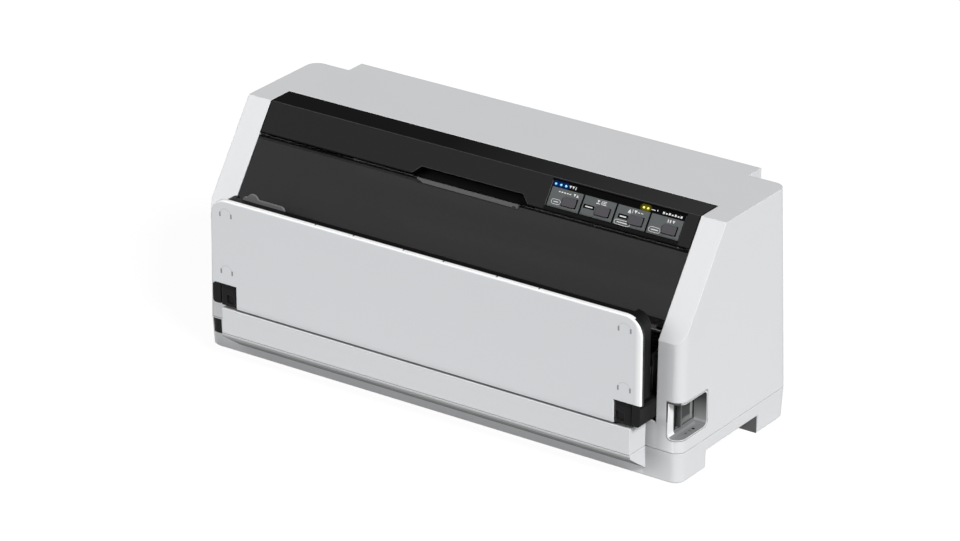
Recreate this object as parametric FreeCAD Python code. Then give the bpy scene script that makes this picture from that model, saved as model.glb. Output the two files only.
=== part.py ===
import FreeCAD, Part

import math
import os

# A flatbed dot matrix printer, in millimetres: X to its right, Y to its rear, Z up.
# The origin lies on the desk, under the middle of the closed machine.

Vector = FreeCAD.Vector

# Outer case
case_width = 480.0
case_depth = 198.0
case_height = 210.0
case_wall = 2.5
split_height = 28.3
split_gap = 0.6
pillar_width = 23.6
pillar_setback = 23.0
front_lean = 2.2
bend_height = 123.5
slope_run = 61.0
rear_top_setback = 18.7
rear_split_setback = 8.7
front_corner_radius = 9.0
rear_corner_radius = 11.0
hood_margin = 37.0
hood_drop = 92.0
fascia_margin = 33.5
fascia_height = 51.5
rear_slot_floor = 58.0

# Lower case
base_taper = 1.2
base_edge = 1.0
base_edge_height = 1.2
foot_drop = 0.5
arch_height = 17.5
arch_front_share = 0.31818
arch_length_share = 0.4015
floor_wall = 2.5
chin_height = 25.0
chin_root_height = 8.6
board_boss_radius = 4.0
boss_sides = 8
pad_radius = 9.0
pad_sides = 16
pad_seat_depth = 2.0
pad_inset = 26.0
plug_width = 8.4
plug_height = 13.0
plug_inset = 5.8
plug_top_gap = 1.2
plug_depth = 1.6
plug_steps = 5

# Gaps between pieces
fit = 0.3
running = 0.05
shaft_sides = 10
overrun = 40.0

# Control strip, keys and lamps
strip_top_depth = 25.6
strip_drop = 28.6
strip_thickness = 3.0
strip_ledge = 6.0
finger_notch_share = 0.2458
finger_notch_top_share = 0.2125
finger_notch_depth = 8.0
scoop_depth = 8.0
skirt_depth = 6.0
skirt_wall = 1.5
key_area_share = 0.26896
key_area_margin = 13.0
key_area_top = 1.6
key_area_height = 23.2
key_plate_thickness = 1.4
key_plate_land = 1.4
lamp_band_height = 6.6
key_field_gap = 1.2
key_field_rise = 0.4
key_count = 4
key_width = 13.0
key_height = 7.5
key_drop = 17.8
key_place_share = 0.669
key_rise = 1.2
key_travel = 0.8
key_stem = 4.0
key_radius = 1.5
lamp_radius = 1.1
lamp_drop = 5.2
lamp_shares = (0.0232, 0.062, 0.0999, 0.6863, 0.7173)
lamp_sides = 8
panel_board_gap = 7.0
board_thickness = 1.6
switch_cap_height = 1.6

# Smoked window
window_gap = 1.8
window_drop = 88.7
window_thickness = 2.5
window_sink = 0.4
window_side_gap = 0.5
window_lip_rise = 1.2
window_lip_height = 3.6
window_pivot_drop = 84.0
window_pivot_depth = 5.0
window_pin_radius = 2.0
window_lug_radius = 4.0
window_lug_width = 4.0

# Front tray
tray_margin = 23.0
tray_bottom = 52.3
tray_top = 151.2
tray_thickness = 4.0
tray_corner_radius = 16.5
tray_edge_radius = 2.0
tray_notch_width = 26.4
tray_notch_top = 74.3
table_margin = 4.5
table_top_inset = 2.2
table_depth = 16.0
table_floor = 10.5
table_wall = 2.2
table_corner_radius = 12.0
hinge_height = 64.0
hinge_setback = 3.2
hinge_pin_radius = 1.5
knuckle_margin = 9.3
knuckle_bottom = 54.8
knuckle_depth = 19.0
knuckle_corner = 2.5
knuckle_recess = 8.0
knuckle_recess_depth = 1.5
arm_margin = 0.9
arm_bottom = 55.0
arm_top = 73.5
arm_depth = 28.5
arm_front_gap = 0.4
arm_corner = 3.0
guide_groove_height = 100.0
guide_groove_width = 6.0
guide_groove_depth = 1.0
guide_plate_thickness = 1.5
guide_plate_width = 44.0
guide_plate_bottom = 84.0
guide_fence_height = 6.0
guide_fence_thickness = 2.0
guide_fence_bottom = 80.0
guide_left_margin = 19.0
guide_right_margin = 22.5
guide_tab_rise = 1.0
guide_bump_rise = 4.0
guide_bump_width = 12.0

# Power switch in the front right corner
pocket_reach = 14.0
pocket_length = 41.3
pocket_bottom = 38.5
pocket_top = 72.5
pocket_corner = 4.5
pocket_wall = 1.5
rocker_half_length = 10.5
rocker_setback = 25.0
rocker_margin = 2.4
rocker_foot = 5.9
rocker_wing = 3.4
rocker_valley = 1.4
rocker_back = 6.0
rocker_back_share = 0.8
rocker_tilt_deg = 7.0
rocker_pin_radius = 1.5
rocker_pin_length = 2.0
switch_depth = 18.0
switch_wall = 2.0

# Metal chassis
sheet = 1.6
frame_margin = 11.4
frame_front_share = 0.33333
frame_rear_share = 0.41919
frame_bottom = 32.8
frame_top = 128.0
frame_front_top = 106.0
base_sheet_height = 31.0
base_flange = 8.0
frame_window_width = 34.0
frame_window_height = 24.0

# Paper path, feed rollers and gears
path_height = 67.0
path_sink = 0.5
guide_sheet = 1.2
front_roller_share = -0.11111
rear_roller_share = 0.14141
gear_module = 1.0
gear_width = 5.0
roller_teeth = 24
pinion_reach_share = 1.04
idler_least_teeth = 12
tractor_teeth = 29
gear_gap = 1.2
tip_share = 0.85
root_share = 1.2
tooth_width_share = 0.42
flank_deg = 20.0
shaft_radius = 4.0
sleeve_sides = 16
sleeve_count = 4
sleeve_length = 38.0
sleeve_pitch_share = 0.483
sleeve_gap = 1.2
pinch_radius = 4.5
pinch_sides = 12
pinch_shaft_radius = 2.0
idler_bore = 2.0
feed_motor_radius = 14.0
feed_motor_length = 24.0
can_sides = 28
motor_shaft_radius = 2.0
platen_front_share = -0.01869
platen_width = 13.4
platen_margin = 30.0
platen_height = 15.0
front_guide_front_share = 0.35859
rear_guide_rear_share = 0.20455

# Push tractor
pin_pitch = 12.7
pin_count = 6
pin_radius = 1.7
pin_rise = 2.2
pin_sides = 6
wheel_sides = 24
sprocket_width = 8.0
tractor_share = 0.33333
tractor_shaft_side = 7.0
tractor_end_radius = 3.2
rail_reach = 19.0
rail_height = 46.0
rail_radius = 3.5
tractor_half_width = 12.0
tractor_front_margin = 12.27
tractor_rear_margin = 4.47
tractor_bottom = 40.6
tractor_margin = 55.0
door_thickness = 2.0
door_gap = 1.6
door_pin_radius = 1.2
door_barrel_radius = 2.4
door_ear = 3.0
lever_width = 5.0
lever_ring = 2.6
lever_reach = 15.0
lever_thickness = 3.2

# Carriage, print head and belt
rod_share = 0.17172
rod_rise = 11.0
rod_radius = 6.0
carriage_margin = 55.0
carriage_half = 30.0
carriage_bottom = 84.0
carriage_thickness = 20.0
carriage_front_share = -0.10101
carriage_rear_share = 0.22222
rail_front_share = -0.17172
rail_rear_share = -0.13131
rail_rise = 14.0
shoe_length = 15.0
head_share = 0.01515
head_length = 40.0
head_width = 30.0
head_rise = 12.0
nose_length = 18.0
nose_width = 16.0
nose_gap = 2.8
fin_count = 6
fin_thickness = 2.0
fin_height = 12.0
belt_share = 0.26768
belt_height = 109.5
belt_width = 6.0
belt_thickness = 1.2
pulley_radius = 8.0
pulley_flange = 1.5
pulley_sides = 16
pulley_margin = 35.0
pulley_shaft_radius = 2.5
clamp_half = 8.0
clamp_wall = 3.0
stay_front_share = 0.20202
stay_rear_share = 0.33333
stay_height = 120.0
stay_flange = 12.0
carriage_motor_radius = 15.0
carriage_motor_length = 28.0

# Ribbon cartridge
cartridge_margin = 13.0
cartridge_front_share = -0.33333
cartridge_rear_share = -0.19192
cartridge_bottom = 84.0
cartridge_top = 109.0
cartridge_ear_depth = 12.0
cartridge_ear_overlap = 2.0
arm_frame_margin = 17.0
arm_width = 5.0
arm_tip_place = 12.0
arm_tip_bottom = 70.4
arm_tip_top = 78.0
arm_neck_top = 94.0
cartridge_corner = 6.0
ribbon_width = 12.7
ribbon_thickness = 0.4
ribbon_gap = 0.5
knob_margin = 55.0
knob_radius = 9.0
knob_height = 6.0
knob_flutes = 16
knob_flute_depth = 1.0
knob_shaft_radius = 3.0
knob_shaft_length = 8.0

# Boards and sockets
board_height = 23.4
board_left_share = 0.9366
board_right_share = 0.1951
board_front_share = 0.16162
board_rear_share = 0.29293
supply_left_share = 0.2439
supply_right_share = 0.9366
supply_front_share = 0.15152
supply_rear_share = 0.19192
chip_height = 4.0
chip_shares = ((0.1, 0.2, 0.2, 0.3), (0.45, 0.15, 0.14, 0.2), (0.7, 0.2, 0.12, 0.2),
               (0.1, 0.85, 0.5, 0.08), (0.5, 0.5, 0.1, 0.14))
core_size = 26.0
core_height = 20.0
supply_can_radius = 8.7
heatsink_length = 44.0
heatsink_height = 5.0
inlet_margin = 22.0
inlet_width = 20.0
inlet_height = 27.0
inlet_bottom = 36.0
inlet_depth = 20.0
socket_wall = 2.0
socket_depth = 14.0
blade_width = 2.0
blade_height = 4.0
blade_length = 10.0
blade_spread = 5.0
blade_rise = 3.0
port_width = 60.0
port_height = 13.0
port_bottom = 40.0
port_depth = 12.0
port_recess = 6.0
port_wall = 1.6
small_port_margin = 20.0
small_port_width = 12.0
small_port_height = 11.0

# Places worked out from the sizes above
half_width = case_width / 2
front_y = -case_depth / 2
rear_y = case_depth / 2
pillar_y = front_y + pillar_setback
bend_y = pillar_y + front_lean
ridge_y = bend_y + slope_run
rear_top_y = rear_y - rear_top_setback
rear_split_y = rear_y - rear_split_setback
inner_x = half_width - pillar_width
hood_x = half_width - hood_margin
hood_bottom = case_height - hood_drop
fascia_x = half_width - fascia_margin
slope_length = math.hypot(slope_run, case_height - bend_height)
down_y = -slope_run / slope_length
down_z = (bend_height - case_height) / slope_length
strip_back_y = ridge_y + strip_top_depth
arch_front = arch_front_share * case_depth
arch_length = arch_length_share * case_depth
frame_front = frame_front_share * case_depth
frame_rear = frame_rear_share * case_depth
front_roller_place = front_roller_share * case_depth
rear_roller_place = rear_roller_share * case_depth
platen_front = platen_front_share * case_depth
front_guide_front = front_guide_front_share * case_depth
rear_guide_rear = rear_guide_rear_share * case_depth
tractor_place = tractor_share * case_depth
rail_place = tractor_place - rail_reach
rod_place = rod_share * case_depth
carriage_front = carriage_front_share * case_depth
carriage_rear = carriage_rear_share * case_depth
rail_front = rail_front_share * case_depth
rail_rear = rail_rear_share * case_depth
head_place = head_share * case_depth
belt_place = belt_share * case_depth
stay_front = stay_front_share * case_depth
stay_rear = stay_rear_share * case_depth
cartridge_front = cartridge_front_share * case_depth
cartridge_rear = cartridge_rear_share * case_depth
board_front = board_front_share * case_depth
board_rear = board_rear_share * case_depth
supply_front = supply_front_share * case_depth
supply_rear = supply_rear_share * case_depth
floor_top = arch_height + floor_wall
arch_front_y = front_y + arch_front
arch_rear_y = arch_front_y + arch_length
pad_height = foot_drop + pad_seat_depth - fit
base_lean = base_taper / (split_height - split_gap - foot_drop - base_edge_height)
bore_growth = 1 / math.cos(math.pi / shaft_sides)
finger_notch_width = finger_notch_share * case_width
finger_notch_top_width = finger_notch_top_share * case_width
key_area_width = key_area_share * case_width
key_area_left = inner_x - key_area_margin - key_area_width
lamp_places = [key_area_left + share * key_area_width for share in lamp_shares]
tray_x = half_width - tray_margin
table_x = tray_x - table_margin
tray_notch_x = tray_x - tray_notch_width
knuckle_outer = tray_x - knuckle_margin
arm_outer = tray_x - arm_margin
guide_left_place = table_x - guide_left_margin
guide_right_place = table_x - guide_right_margin
pocket_left = half_width - pocket_reach
inlet_place = half_width - inlet_margin
small_port_place = small_port_margin - half_width
frame_place = inner_x - frame_margin
frame_x = frame_place + sheet
rod_height = carriage_bottom + rod_rise
carriage_top = carriage_bottom + carriage_thickness
front_rail_height = carriage_bottom + rail_rise
head_top = carriage_top + head_rise
sleeve_pitch = sleeve_pitch_share * frame_place
platen_x = frame_place - platen_margin
tractor_right_place = frame_place - tractor_margin
tractor_left_place = -tractor_right_place
carriage_home = carriage_margin - frame_place
pulley_centre = frame_place - pulley_margin
cartridge_half = frame_place - cartridge_margin
arm_half = frame_place - arm_frame_margin
knob_place = frame_place - knob_margin
board_left = board_left_share * frame_place
board_right = board_right_share * frame_place
supply_left = supply_left_share * frame_place
supply_right = supply_right_share * frame_place
gear_x = frame_x + gear_gap
sprocket_radius = pin_pitch * pin_count / (2 * math.pi)
tractor_front = tractor_place - sprocket_radius - tractor_front_margin
tractor_rear = tractor_place + sprocket_radius + tractor_rear_margin
roller_radius = sprocket_radius * roller_teeth / tractor_teeth
roller_span = rear_roller_place - front_roller_place
pinion_teeth = round(roller_span * pinion_reach_share / gear_module - roller_teeth)
idler_span = math.hypot(tractor_place - rear_roller_place, sprocket_radius - roller_radius)
idler_gap_teeth = math.ceil(idler_span / gear_module - (roller_teeth + tractor_teeth) / 2)
idler_teeth = max(idler_least_teeth, idler_gap_teeth)
roller_z = path_height - roller_radius
tractor_z = path_height - sprocket_radius
hinge_y = front_y + hinge_setback
table_y = front_y + tray_thickness
floor_y = table_y + table_floor
rocker_y = pillar_y + rocker_setback


# Basic solids

def block(x, y, z):
    """Box between pairs of limits."""
    return Part.makeBox(x[1] - x[0], y[1] - y[0], z[1] - z[0], Vector(x[0], y[0], z[0]))


def face_of(points):
    return Part.Face(Part.makePolygon(points + [points[0]]))


def along_x(outline, x):
    """Outline of (y, z) points, drawn along X."""
    face = face_of([Vector(x[0], y, z) for y, z in outline])
    return face.extrude(Vector(x[1] - x[0], 0, 0))


def along_y(outline, y):
    """Outline of (x, z) points, drawn along Y."""
    face = face_of([Vector(x, y[0], z) for x, z in outline])
    return face.extrude(Vector(0, y[1] - y[0], 0))


def along_z(outline, z):
    """Outline of (x, y) points, drawn along Z."""
    face = face_of([Vector(x, y, z[0]) for x, y in outline])
    return face.extrude(Vector(0, 0, z[1] - z[0]))


def rod_x(radius, x, y, z):
    return Part.makeCylinder(radius, x[1] - x[0], Vector(x[0], y, z), Vector(1, 0, 0))


def rod_y(radius, x, y, z):
    return Part.makeCylinder(radius, y[1] - y[0], Vector(x, y[0], z), Vector(0, 1, 0))


def flat_ring(sides, radius, base, way):
    """Corners of a flat-sided round outline, square to the way."""
    turn = FreeCAD.Rotation(Vector(0, 0, 1), way)
    points = []
    for index in range(sides):
        angle = 2 * math.pi * index / sides
        points.append(base + turn.multVec(Vector(radius * math.cos(angle), radius * math.sin(angle), 0)))
    return points


def flat_bar(sides, radius, base, way, length):
    """Bar with flat sides, for round pieces that are small or repeated."""
    return face_of(flat_ring(sides, radius, base, way)).extrude(way * length)


def flat_x(sides, radius, x, y, z):
    return flat_bar(sides, radius, Vector(x[0], y, z), Vector(1, 0, 0), x[1] - x[0])


def flat_y(sides, radius, x, y, z):
    return flat_bar(sides, radius, Vector(x, y[0], z), Vector(0, 1, 0), y[1] - y[0])


def flat_z(sides, radius, x, y, z):
    return flat_bar(sides, radius, Vector(x, y, z[0]), Vector(0, 0, 1), z[1] - z[0])


def bore_x(radius, x, y, z):
    """Flat-sided hole that a turning shaft of this radius clears."""
    return flat_x(shaft_sides, radius * bore_growth, x, y, z)


def bore_y(radius, x, y, z):
    return flat_y(shaft_sides, radius * bore_growth, x, y, z)


def bore_z(radius, x, y, z):
    return flat_z(shaft_sides, radius * bore_growth, x, y, z)


def taper(foot, tip):
    """Solid with flat sides between two outlines of as many corners."""
    faces = [face_of(foot), face_of(tip)]
    for index, point in enumerate(foot):
        faces.append(face_of([foot[index - 1], point, tip[index], tip[index - 1]]))
    return Part.makeSolid(Part.makeShell(faces))


def joined(shapes):
    """One solid from pieces that meet or overlap."""
    return shapes[0].multiFuse(shapes[1:]).removeSplitter()


def flipped(shape):
    """The same piece for the other side of the machine."""
    return shape.mirror(Vector(0, 0, 0), Vector(1, 0, 0))


def both_sides(shape):
    return [shape, flipped(shape)]


def straight_edges(shape, wanted):
    """The straight edges whose middle and direction the test accepts."""
    edges = []
    for edge in shape.Edges:
        if len(edge.Vertexes) == 2:
            start = edge.Vertexes[0].Point
            way = edge.Vertexes[1].Point - start
            if way.Length and wanted(start + way / 2, way / way.Length):
                edges.append(edge)
    return edges


def rounded(shape, radius, wanted):
    return shape.makeFillet(radius, straight_edges(shape, wanted))


def bevelled(shape, radius, wanted):
    """Cuts edges flat, where a round of that radius would touch the cut, for insides and small pieces."""
    return shape.makeChamfer(radius * (2 - math.sqrt(2)), straight_edges(shape, wanted))


def near(a, b):
    return abs(a - b) < running


def upright(way):
    """True for an edge that stands nearly along Z."""
    return abs(way.z) > math.cos(math.radians(30))


# The sloping front

def on_slope(drop, depth):
    """Point (y, z) at a distance down the slope from the ridge and a depth below it."""
    return (ridge_y + down_y * drop - down_z * depth,
            case_height + down_z * drop + down_y * depth)


def ridge_corner(depth):
    """Point (y, z) where the top and the slope meet, both a depth below the surface."""
    return (ridge_y + depth * (1 + down_y) / -down_z, case_height - depth)


def slope_block(x, drop, depth):
    """Box on the slope, between limits across, down and below it."""
    outline = [on_slope(drop[0], depth[0]), on_slope(drop[1], depth[0]),
               on_slope(drop[1], depth[1]), on_slope(drop[0], depth[1])]
    return along_x(outline, x)


def slope_rod(radius, x, drop, depth):
    """Small bar that stands square to the slope, from a first to a second depth."""
    y, z = on_slope(drop, depth[0])
    return flat_bar(lamp_sides, radius, Vector(x, y, z), Vector(0, -down_z, down_y), depth[1] - depth[0])


# Case forms

def case_body(inset, ease):
    """Solid form of the upper case, drawn in from its outer faces, with its upright edges eased."""
    x = half_width - inset
    top = case_height - inset
    rise = (top - split_height) / (bend_height - split_height)
    rear_fall = (case_height - top) / (case_height - split_height)
    outline = [(pillar_y + inset, split_height),
               (pillar_y + inset + front_lean * rise, top),
               (rear_top_y - inset + (rear_split_y - rear_top_y) * rear_fall, top),
               (rear_split_y - inset, split_height)]
    body = along_x(outline, (-x, x))
    body = ease(body, front_corner_radius - inset, lambda at, way: upright(way) and at.y < 0)
    body = ease(body, rear_corner_radius - inset, lambda at, way: upright(way) and at.y > 0)
    beyond = [on_slope(-case_height, inset), on_slope(slope_length + case_height, inset),
              (front_y - case_height, 2 * case_height)]
    return body.cut(along_x(beyond, (-case_width, case_width)))


def base_plate(inset, z, ease):
    """Block with the plan of the lower case, between two heights, with its upright edges eased."""
    x = half_width - inset
    plate = block((-x, x), (pillar_y + inset, rear_split_y - inset), z)
    plate = ease(plate, front_corner_radius, lambda at, way: upright(way) and at.y < 0)
    return ease(plate, rear_corner_radius, lambda at, way: upright(way) and at.y > 0)


def base_ring(inset, height):
    """Rounded outline of the lower case at a height."""
    for face in base_plate(inset, (height, height + fit), rounded).Faces:
        if near(face.CenterOfMass.z, height):
            return face.OuterWire


def base_body():
    """Solid form of the lower case: it narrows to the floor and its bottom edge is eased."""
    rings = [base_ring(0, split_height - split_gap),
             base_ring(base_taper, foot_drop + base_edge_height),
             base_ring(base_taper + base_edge, foot_drop)]
    return Part.makeLoft(rings, True, True)


def chin(inset):
    """The part of the lower case that carries the front bulge."""
    top = split_height - split_gap
    root = pillar_y + front_corner_radius
    outline = [(front_y + inset, top), (front_y + inset, chin_height),
               (pillar_y, chin_root_height + inset), (root, chin_root_height + inset), (root, top)]
    return along_x(outline, (-fascia_x + inset, fascia_x - inset))


def pocket_form(inset):
    """Hollow for the power switch, in the rounded front right corner."""
    rear = pillar_y + pocket_length + inset
    form = block((pocket_left - inset, half_width + overrun), (pillar_y - overrun, rear),
                 (pocket_bottom - inset, pocket_top + inset))
    low = pocket_bottom - inset
    return rounded(form, pocket_corner,
                   lambda at, way: (near(abs(way.x), 1) and at.y > pillar_y)
                   or (near(at.x, pocket_left - inset) and near(at.z, low)))


def upper_case():
    hood = block((-hood_x, hood_x), (0, rear_y), (hood_bottom, case_height))
    fascia = block((-fascia_x, fascia_x), (front_y, pillar_y + case_wall), (split_height, fascia_height))
    outer = joined([case_body(0, rounded), hood, fascia])
    hood_space = block((-hood_x + case_wall, hood_x - case_wall), (0, rear_y - case_wall),
                       (hood_bottom, case_height - case_wall))
    fascia_space = block((-fascia_x + case_wall, fascia_x - case_wall),
                         (front_y + case_wall, pillar_y + 2 * case_wall),
                         (split_height, fascia_height - case_wall))
    inner = joined([case_body(case_wall, bevelled), hood_space, fascia_space])
    shell = outer.cut(inner)
    cheek = block((inner_x, inner_x + case_wall), (front_y, strip_back_y + case_wall),
                  (split_height + case_wall, case_height))
    cheeks = [case_body(0, rounded).common(side) for side in both_sides(cheek)]
    shell = joined([shell] + cheeks)
    window_y, window_z = on_slope(window_pivot_drop, window_pivot_depth)
    rear_slot_x = hood_x - case_wall
    switch_hole = block((inner_x - overrun, pocket_left - pocket_wall), rocker_span(fit),
                        (pocket_bottom + pocket_wall, pocket_top - pocket_wall))
    tools = [block((-inner_x, inner_x), (front_y - overrun, strip_back_y),
                   (fascia_height, case_height + overrun)),
             block((-rear_slot_x, rear_slot_x), (rear_top_y - front_corner_radius, rear_y + overrun),
                   (rear_slot_floor, hood_bottom)),
             bore_x(window_pin_radius + running, (-half_width + case_wall, half_width - case_wall),
                    window_y, window_z),
             pocket_form(fit),
             switch_hole,
             rear_wall_cut(inlet_place, inlet_width, inlet_bottom, inlet_height),
             rear_wall_cut(0, port_width, port_bottom, port_height),
             rear_wall_cut(small_port_place, small_port_width, port_bottom, small_port_height)]
    shell = shell.cut(tools)
    ledge = strip_band(strip_thickness + fit, strip_thickness + fit + case_wall, strip_drop,
                       (inner_x - strip_ledge, inner_x))
    seat = case_height - strip_thickness - fit
    x = (-inner_x - case_wall, inner_x + case_wall)
    back = strip_back_y + case_wall
    rear_ledge = block(x, (strip_back_y - strip_ledge, back), (seat - case_wall, seat))
    riser = block(x, (strip_back_y, back), (seat - case_wall, case_height - case_wall / 2))
    return joined([shell, rear_ledge, riser] + both_sides(ledge))


def rear_wall_cut(place, width, bottom, height):
    """Opening for a socket in the rear wall."""
    return block((place - width / 2 - fit, place + width / 2 + fit),
                 (rear_split_y - overrun / 2, rear_y), (bottom - fit, bottom + height + fit))


def lower_case():
    shell = joined([base_body(), chin(0)])
    top = split_height - split_gap
    room = base_plate(base_taper + case_wall, (floor_top, top), bevelled)
    low = foot_drop + pad_seat_depth + floor_wall
    wall = base_taper + base_edge + case_wall
    foot_x = half_width - wall
    feet = [block((-foot_x, foot_x), span, (low, floor_top + floor_wall))
            for span in ((pillar_y + wall, arch_front_y - floor_wall),
                         (arch_rear_y + floor_wall, rear_split_y - wall))]
    chin_room = chin(case_wall)
    arch = block((-case_width, case_width), (arch_front_y, arch_rear_y), (0, arch_height))
    seats = [flat_z(pad_sides, pad_radius + fit, x, y, (0, foot_drop + pad_seat_depth))
             for x, y in pad_places()]
    shell = shell.cut([room, chin_room, arch, plug_form(fit, -plug_depth, plug_depth + fit)] + feet + seats)
    bosses = []
    root = floor_top - floor_wall / 2
    for places, height in ((boss_places(), board_height - fit), (post_places(), base_sheet_height - fit)):
        for x, y in places:
            bosses.append(flat_z(boss_sides, board_boss_radius, x, y, (root, height)))
    return joined([shell] + bosses)


def pad_places():
    x = half_width - pad_inset
    front = pillar_y + pad_inset
    rear = (arch_rear_y + rear_split_y) / 2
    return [(-x, front), (x, front), (-x, rear), (x, rear)]


def boss_places():
    """Bosses under the corners of the two circuit boards."""
    edge = board_boss_radius
    places = []
    for left, right, front, rear in ((-board_left, -board_right, -board_front, board_rear),
                                     (supply_left, supply_right, -supply_front, supply_rear)):
        for x in (left + edge, right - edge):
            for y in (max(front, arch_front_y) + edge, min(rear, arch_rear_y) - edge):
                places.append((x, y))
    return places


def post_places():
    """Posts that carry the chassis between and beside the boards."""
    x = frame_place - 2 * board_boss_radius + fit
    return [(-x, 0), (x, 0), (-x, arch_rear_y - 2 * board_boss_radius),
            (x, arch_rear_y - 2 * board_boss_radius)]


def rubber_feet():
    return [flat_z(pad_sides, pad_radius, x, y, (0, pad_height)) for x, y in pad_places()]


def corner_line(left, right, depth, z):
    """Points across the left front corner of the lower case, at a depth behind its face."""
    inset = base_lean * (split_height - split_gap - z)
    middle_x = inset - half_width + front_corner_radius
    points = []
    for index in range(plug_steps + 1):
        x = left + (right - left) * index / plug_steps
        aside = min(x - middle_x, 0)
        bend = front_corner_radius - math.sqrt(front_corner_radius ** 2 - aside ** 2)
        points.append(Vector(x, pillar_y + inset + bend + depth, z))
    return points


def plug_form(gap, outer, inner):
    """Bent block in the left front corner, between two depths behind the face."""
    left = -half_width + plug_inset - gap
    right = left + plug_width + 2 * gap
    top = split_height - split_gap - plug_top_gap + gap
    low = top - plug_height - 2 * gap
    outline = corner_line(left, right, outer, low) + corner_line(left, right, inner, low)[::-1]
    rise = top - low
    return face_of(outline).extrude(Vector(0, -base_lean * rise, rise))


def front_plug():
    """Blanking plug that follows the rounded corner."""
    return plug_form(0, 0, plug_depth)


# Control strip, keys and lamps

def strip_band(near_depth, far_depth, drop, x):
    """Bent plate over the ridge, between two depths below the surface."""
    back = strip_back_y
    outline = [(back, case_height - near_depth), ridge_corner(near_depth), on_slope(drop, near_depth),
               on_slope(drop, far_depth), ridge_corner(far_depth), (back, case_height - far_depth)]
    return along_x(outline, x)


def key_area(inset, depth):
    right = key_area_left + key_area_width - inset
    bottom = key_area_top + key_area_height - inset
    return slope_block((key_area_left + inset, right), (key_area_top + inset, bottom), depth)


def finger_notch():
    """Notch in the strip's lower edge, as deep as the scoop behind it."""
    low = strip_drop + overrun / 2
    top = strip_drop - finger_notch_depth
    outline = [(-finger_notch_top_width / 2, top), (finger_notch_top_width / 2, top),
               (finger_notch_width / 2, strip_drop), (finger_notch_width / 2, low),
               (-finger_notch_width / 2, low), (-finger_notch_width / 2, strip_drop)]
    points = []
    for x, drop in outline:
        y, z = on_slope(drop, -overrun / 2)
        points.append(Vector(x, y, z))
    reach = overrun / 2 + scoop_depth
    return face_of(points).extrude(Vector(0, -down_z * reach, down_y * reach))


def control_strip():
    """Bent strip with a lower skirt and a moulded scoop for a finger behind its notch."""
    x = inner_x - fit
    band = strip_band(0, strip_thickness, strip_drop, (-x, x))
    trim = block((-x, x), (strip_back_y - fit, strip_back_y + overrun), (0, 2 * case_height))
    skirt_x = inner_x - strip_ledge - fit
    skirt = slope_block((-skirt_x, skirt_x), (strip_drop - skirt_wall, strip_drop),
                        (strip_thickness / 2, skirt_depth))
    scoop_x = finger_notch_width / 2 + skirt_wall
    scoop = slope_block((-scoop_x, scoop_x), (strip_drop - finger_notch_depth - skirt_wall, strip_drop),
                        (strip_thickness / 2, scoop_depth + skirt_wall))
    post_length = panel_board_gap - strip_thickness - fit
    posts = []
    for place in (key_area_left - lamp_radius, key_area_left + key_area_width + lamp_radius):
        for drop in (key_area_top + key_plate_land, key_area_top + key_area_height - key_plate_land):
            posts.append(slope_rod(key_plate_land, place, drop,
                                   (strip_thickness / 2, strip_thickness + post_length)))
    strip = joined([band, skirt, scoop])
    strip = strip.cut([trim, finger_notch(), key_area(0, (-fit, key_plate_thickness + fit)),
                       key_area(key_plate_land, (-fit, strip_thickness + fit))])
    return joined([strip] + posts)


def key_places():
    pitch = key_area_width / key_count
    return [key_area_left + (index + key_place_share) * pitch for index in range(key_count)]


def key_plate():
    """Recessed plate with a lamp band and four raised fields, one round each key."""
    plate = key_area(fit, (fit + key_field_rise, key_plate_thickness))
    top = key_area_top + lamp_band_height
    bottom = key_area_top + key_area_height - key_field_gap
    width = key_area_width / key_count
    fields = []
    for index in range(key_count):
        left = key_area_left + index * width + key_field_gap
        fields.append(slope_block((left, left + width - 2 * key_field_gap), (top, bottom),
                                  (fit, fit + 2 * key_field_rise)))
    holes = [key_form(x, fit, (-fit, overrun)) for x in key_places()]
    holes += [slope_rod(lamp_radius + fit, x, lamp_drop, (-fit, overrun)) for x in lamp_places]
    return joined([plate] + fields).cut(holes)


def key_form(x, gap, depth):
    half = key_width / 2 + gap
    rise = key_height / 2 + gap
    return slope_block((x - half, x + half), (key_drop - rise, key_drop + rise), depth)


def key_button(x):
    """Key cap with cut corners, on a stem down to its switch."""
    cap = key_form(x, 0, (-key_rise, key_plate_thickness + fit))
    cap = bevelled(cap, key_radius, along_depth)
    half = key_stem / 2
    stem = slope_block((x - half, x + half), (key_drop - half, key_drop + half),
                       (key_plate_thickness, panel_board_gap - switch_cap_height - key_travel - fit))
    return joined([cap, stem])


def along_depth(at, way):
    """True for an edge that stands square to the slope."""
    return near(abs(way.y), abs(down_z)) and near(abs(way.z), abs(down_y))


def panel_board():
    """Circuit board behind the strip, with a key switch under each button and the lamps."""
    board = key_area(-key_plate_land, (panel_board_gap, panel_board_gap + board_thickness))
    parts = [board]
    for x in key_places():
        parts.append(slope_block((x - key_stem, x + key_stem), (key_drop - key_stem, key_drop + key_stem),
                                 (panel_board_gap - switch_cap_height, panel_board_gap)))
    for x in lamp_places:
        parts.append(slope_rod(lamp_radius, x, lamp_drop, (fit, panel_board_gap)))
    return joined(parts)


# Smoked window

def window_cover():
    """Smoked cover with a lip along its top and a pivot at each lower corner."""
    x = inner_x - window_side_gap
    top = strip_drop + window_gap
    plate = slope_block((-x, x), (top, window_drop), (window_sink, window_sink + window_thickness))
    lip_x = finger_notch_top_width / 2
    lip = slope_block((-lip_x, lip_x), (top, top + window_lip_height),
                      (window_sink - window_lip_rise, window_sink + window_thickness))
    y, z = on_slope(window_pivot_drop, window_pivot_depth)
    lug_x = x - window_lug_width
    lug = flat_x(shaft_sides, window_lug_radius, (lug_x, x), y, z)
    pin = flat_x(shaft_sides, window_pin_radius, (lug_x, inner_x + case_wall), y, z)
    return joined([plate, lip] + both_sides(lug) + both_sides(pin))


# Front tray and its hinges

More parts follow.
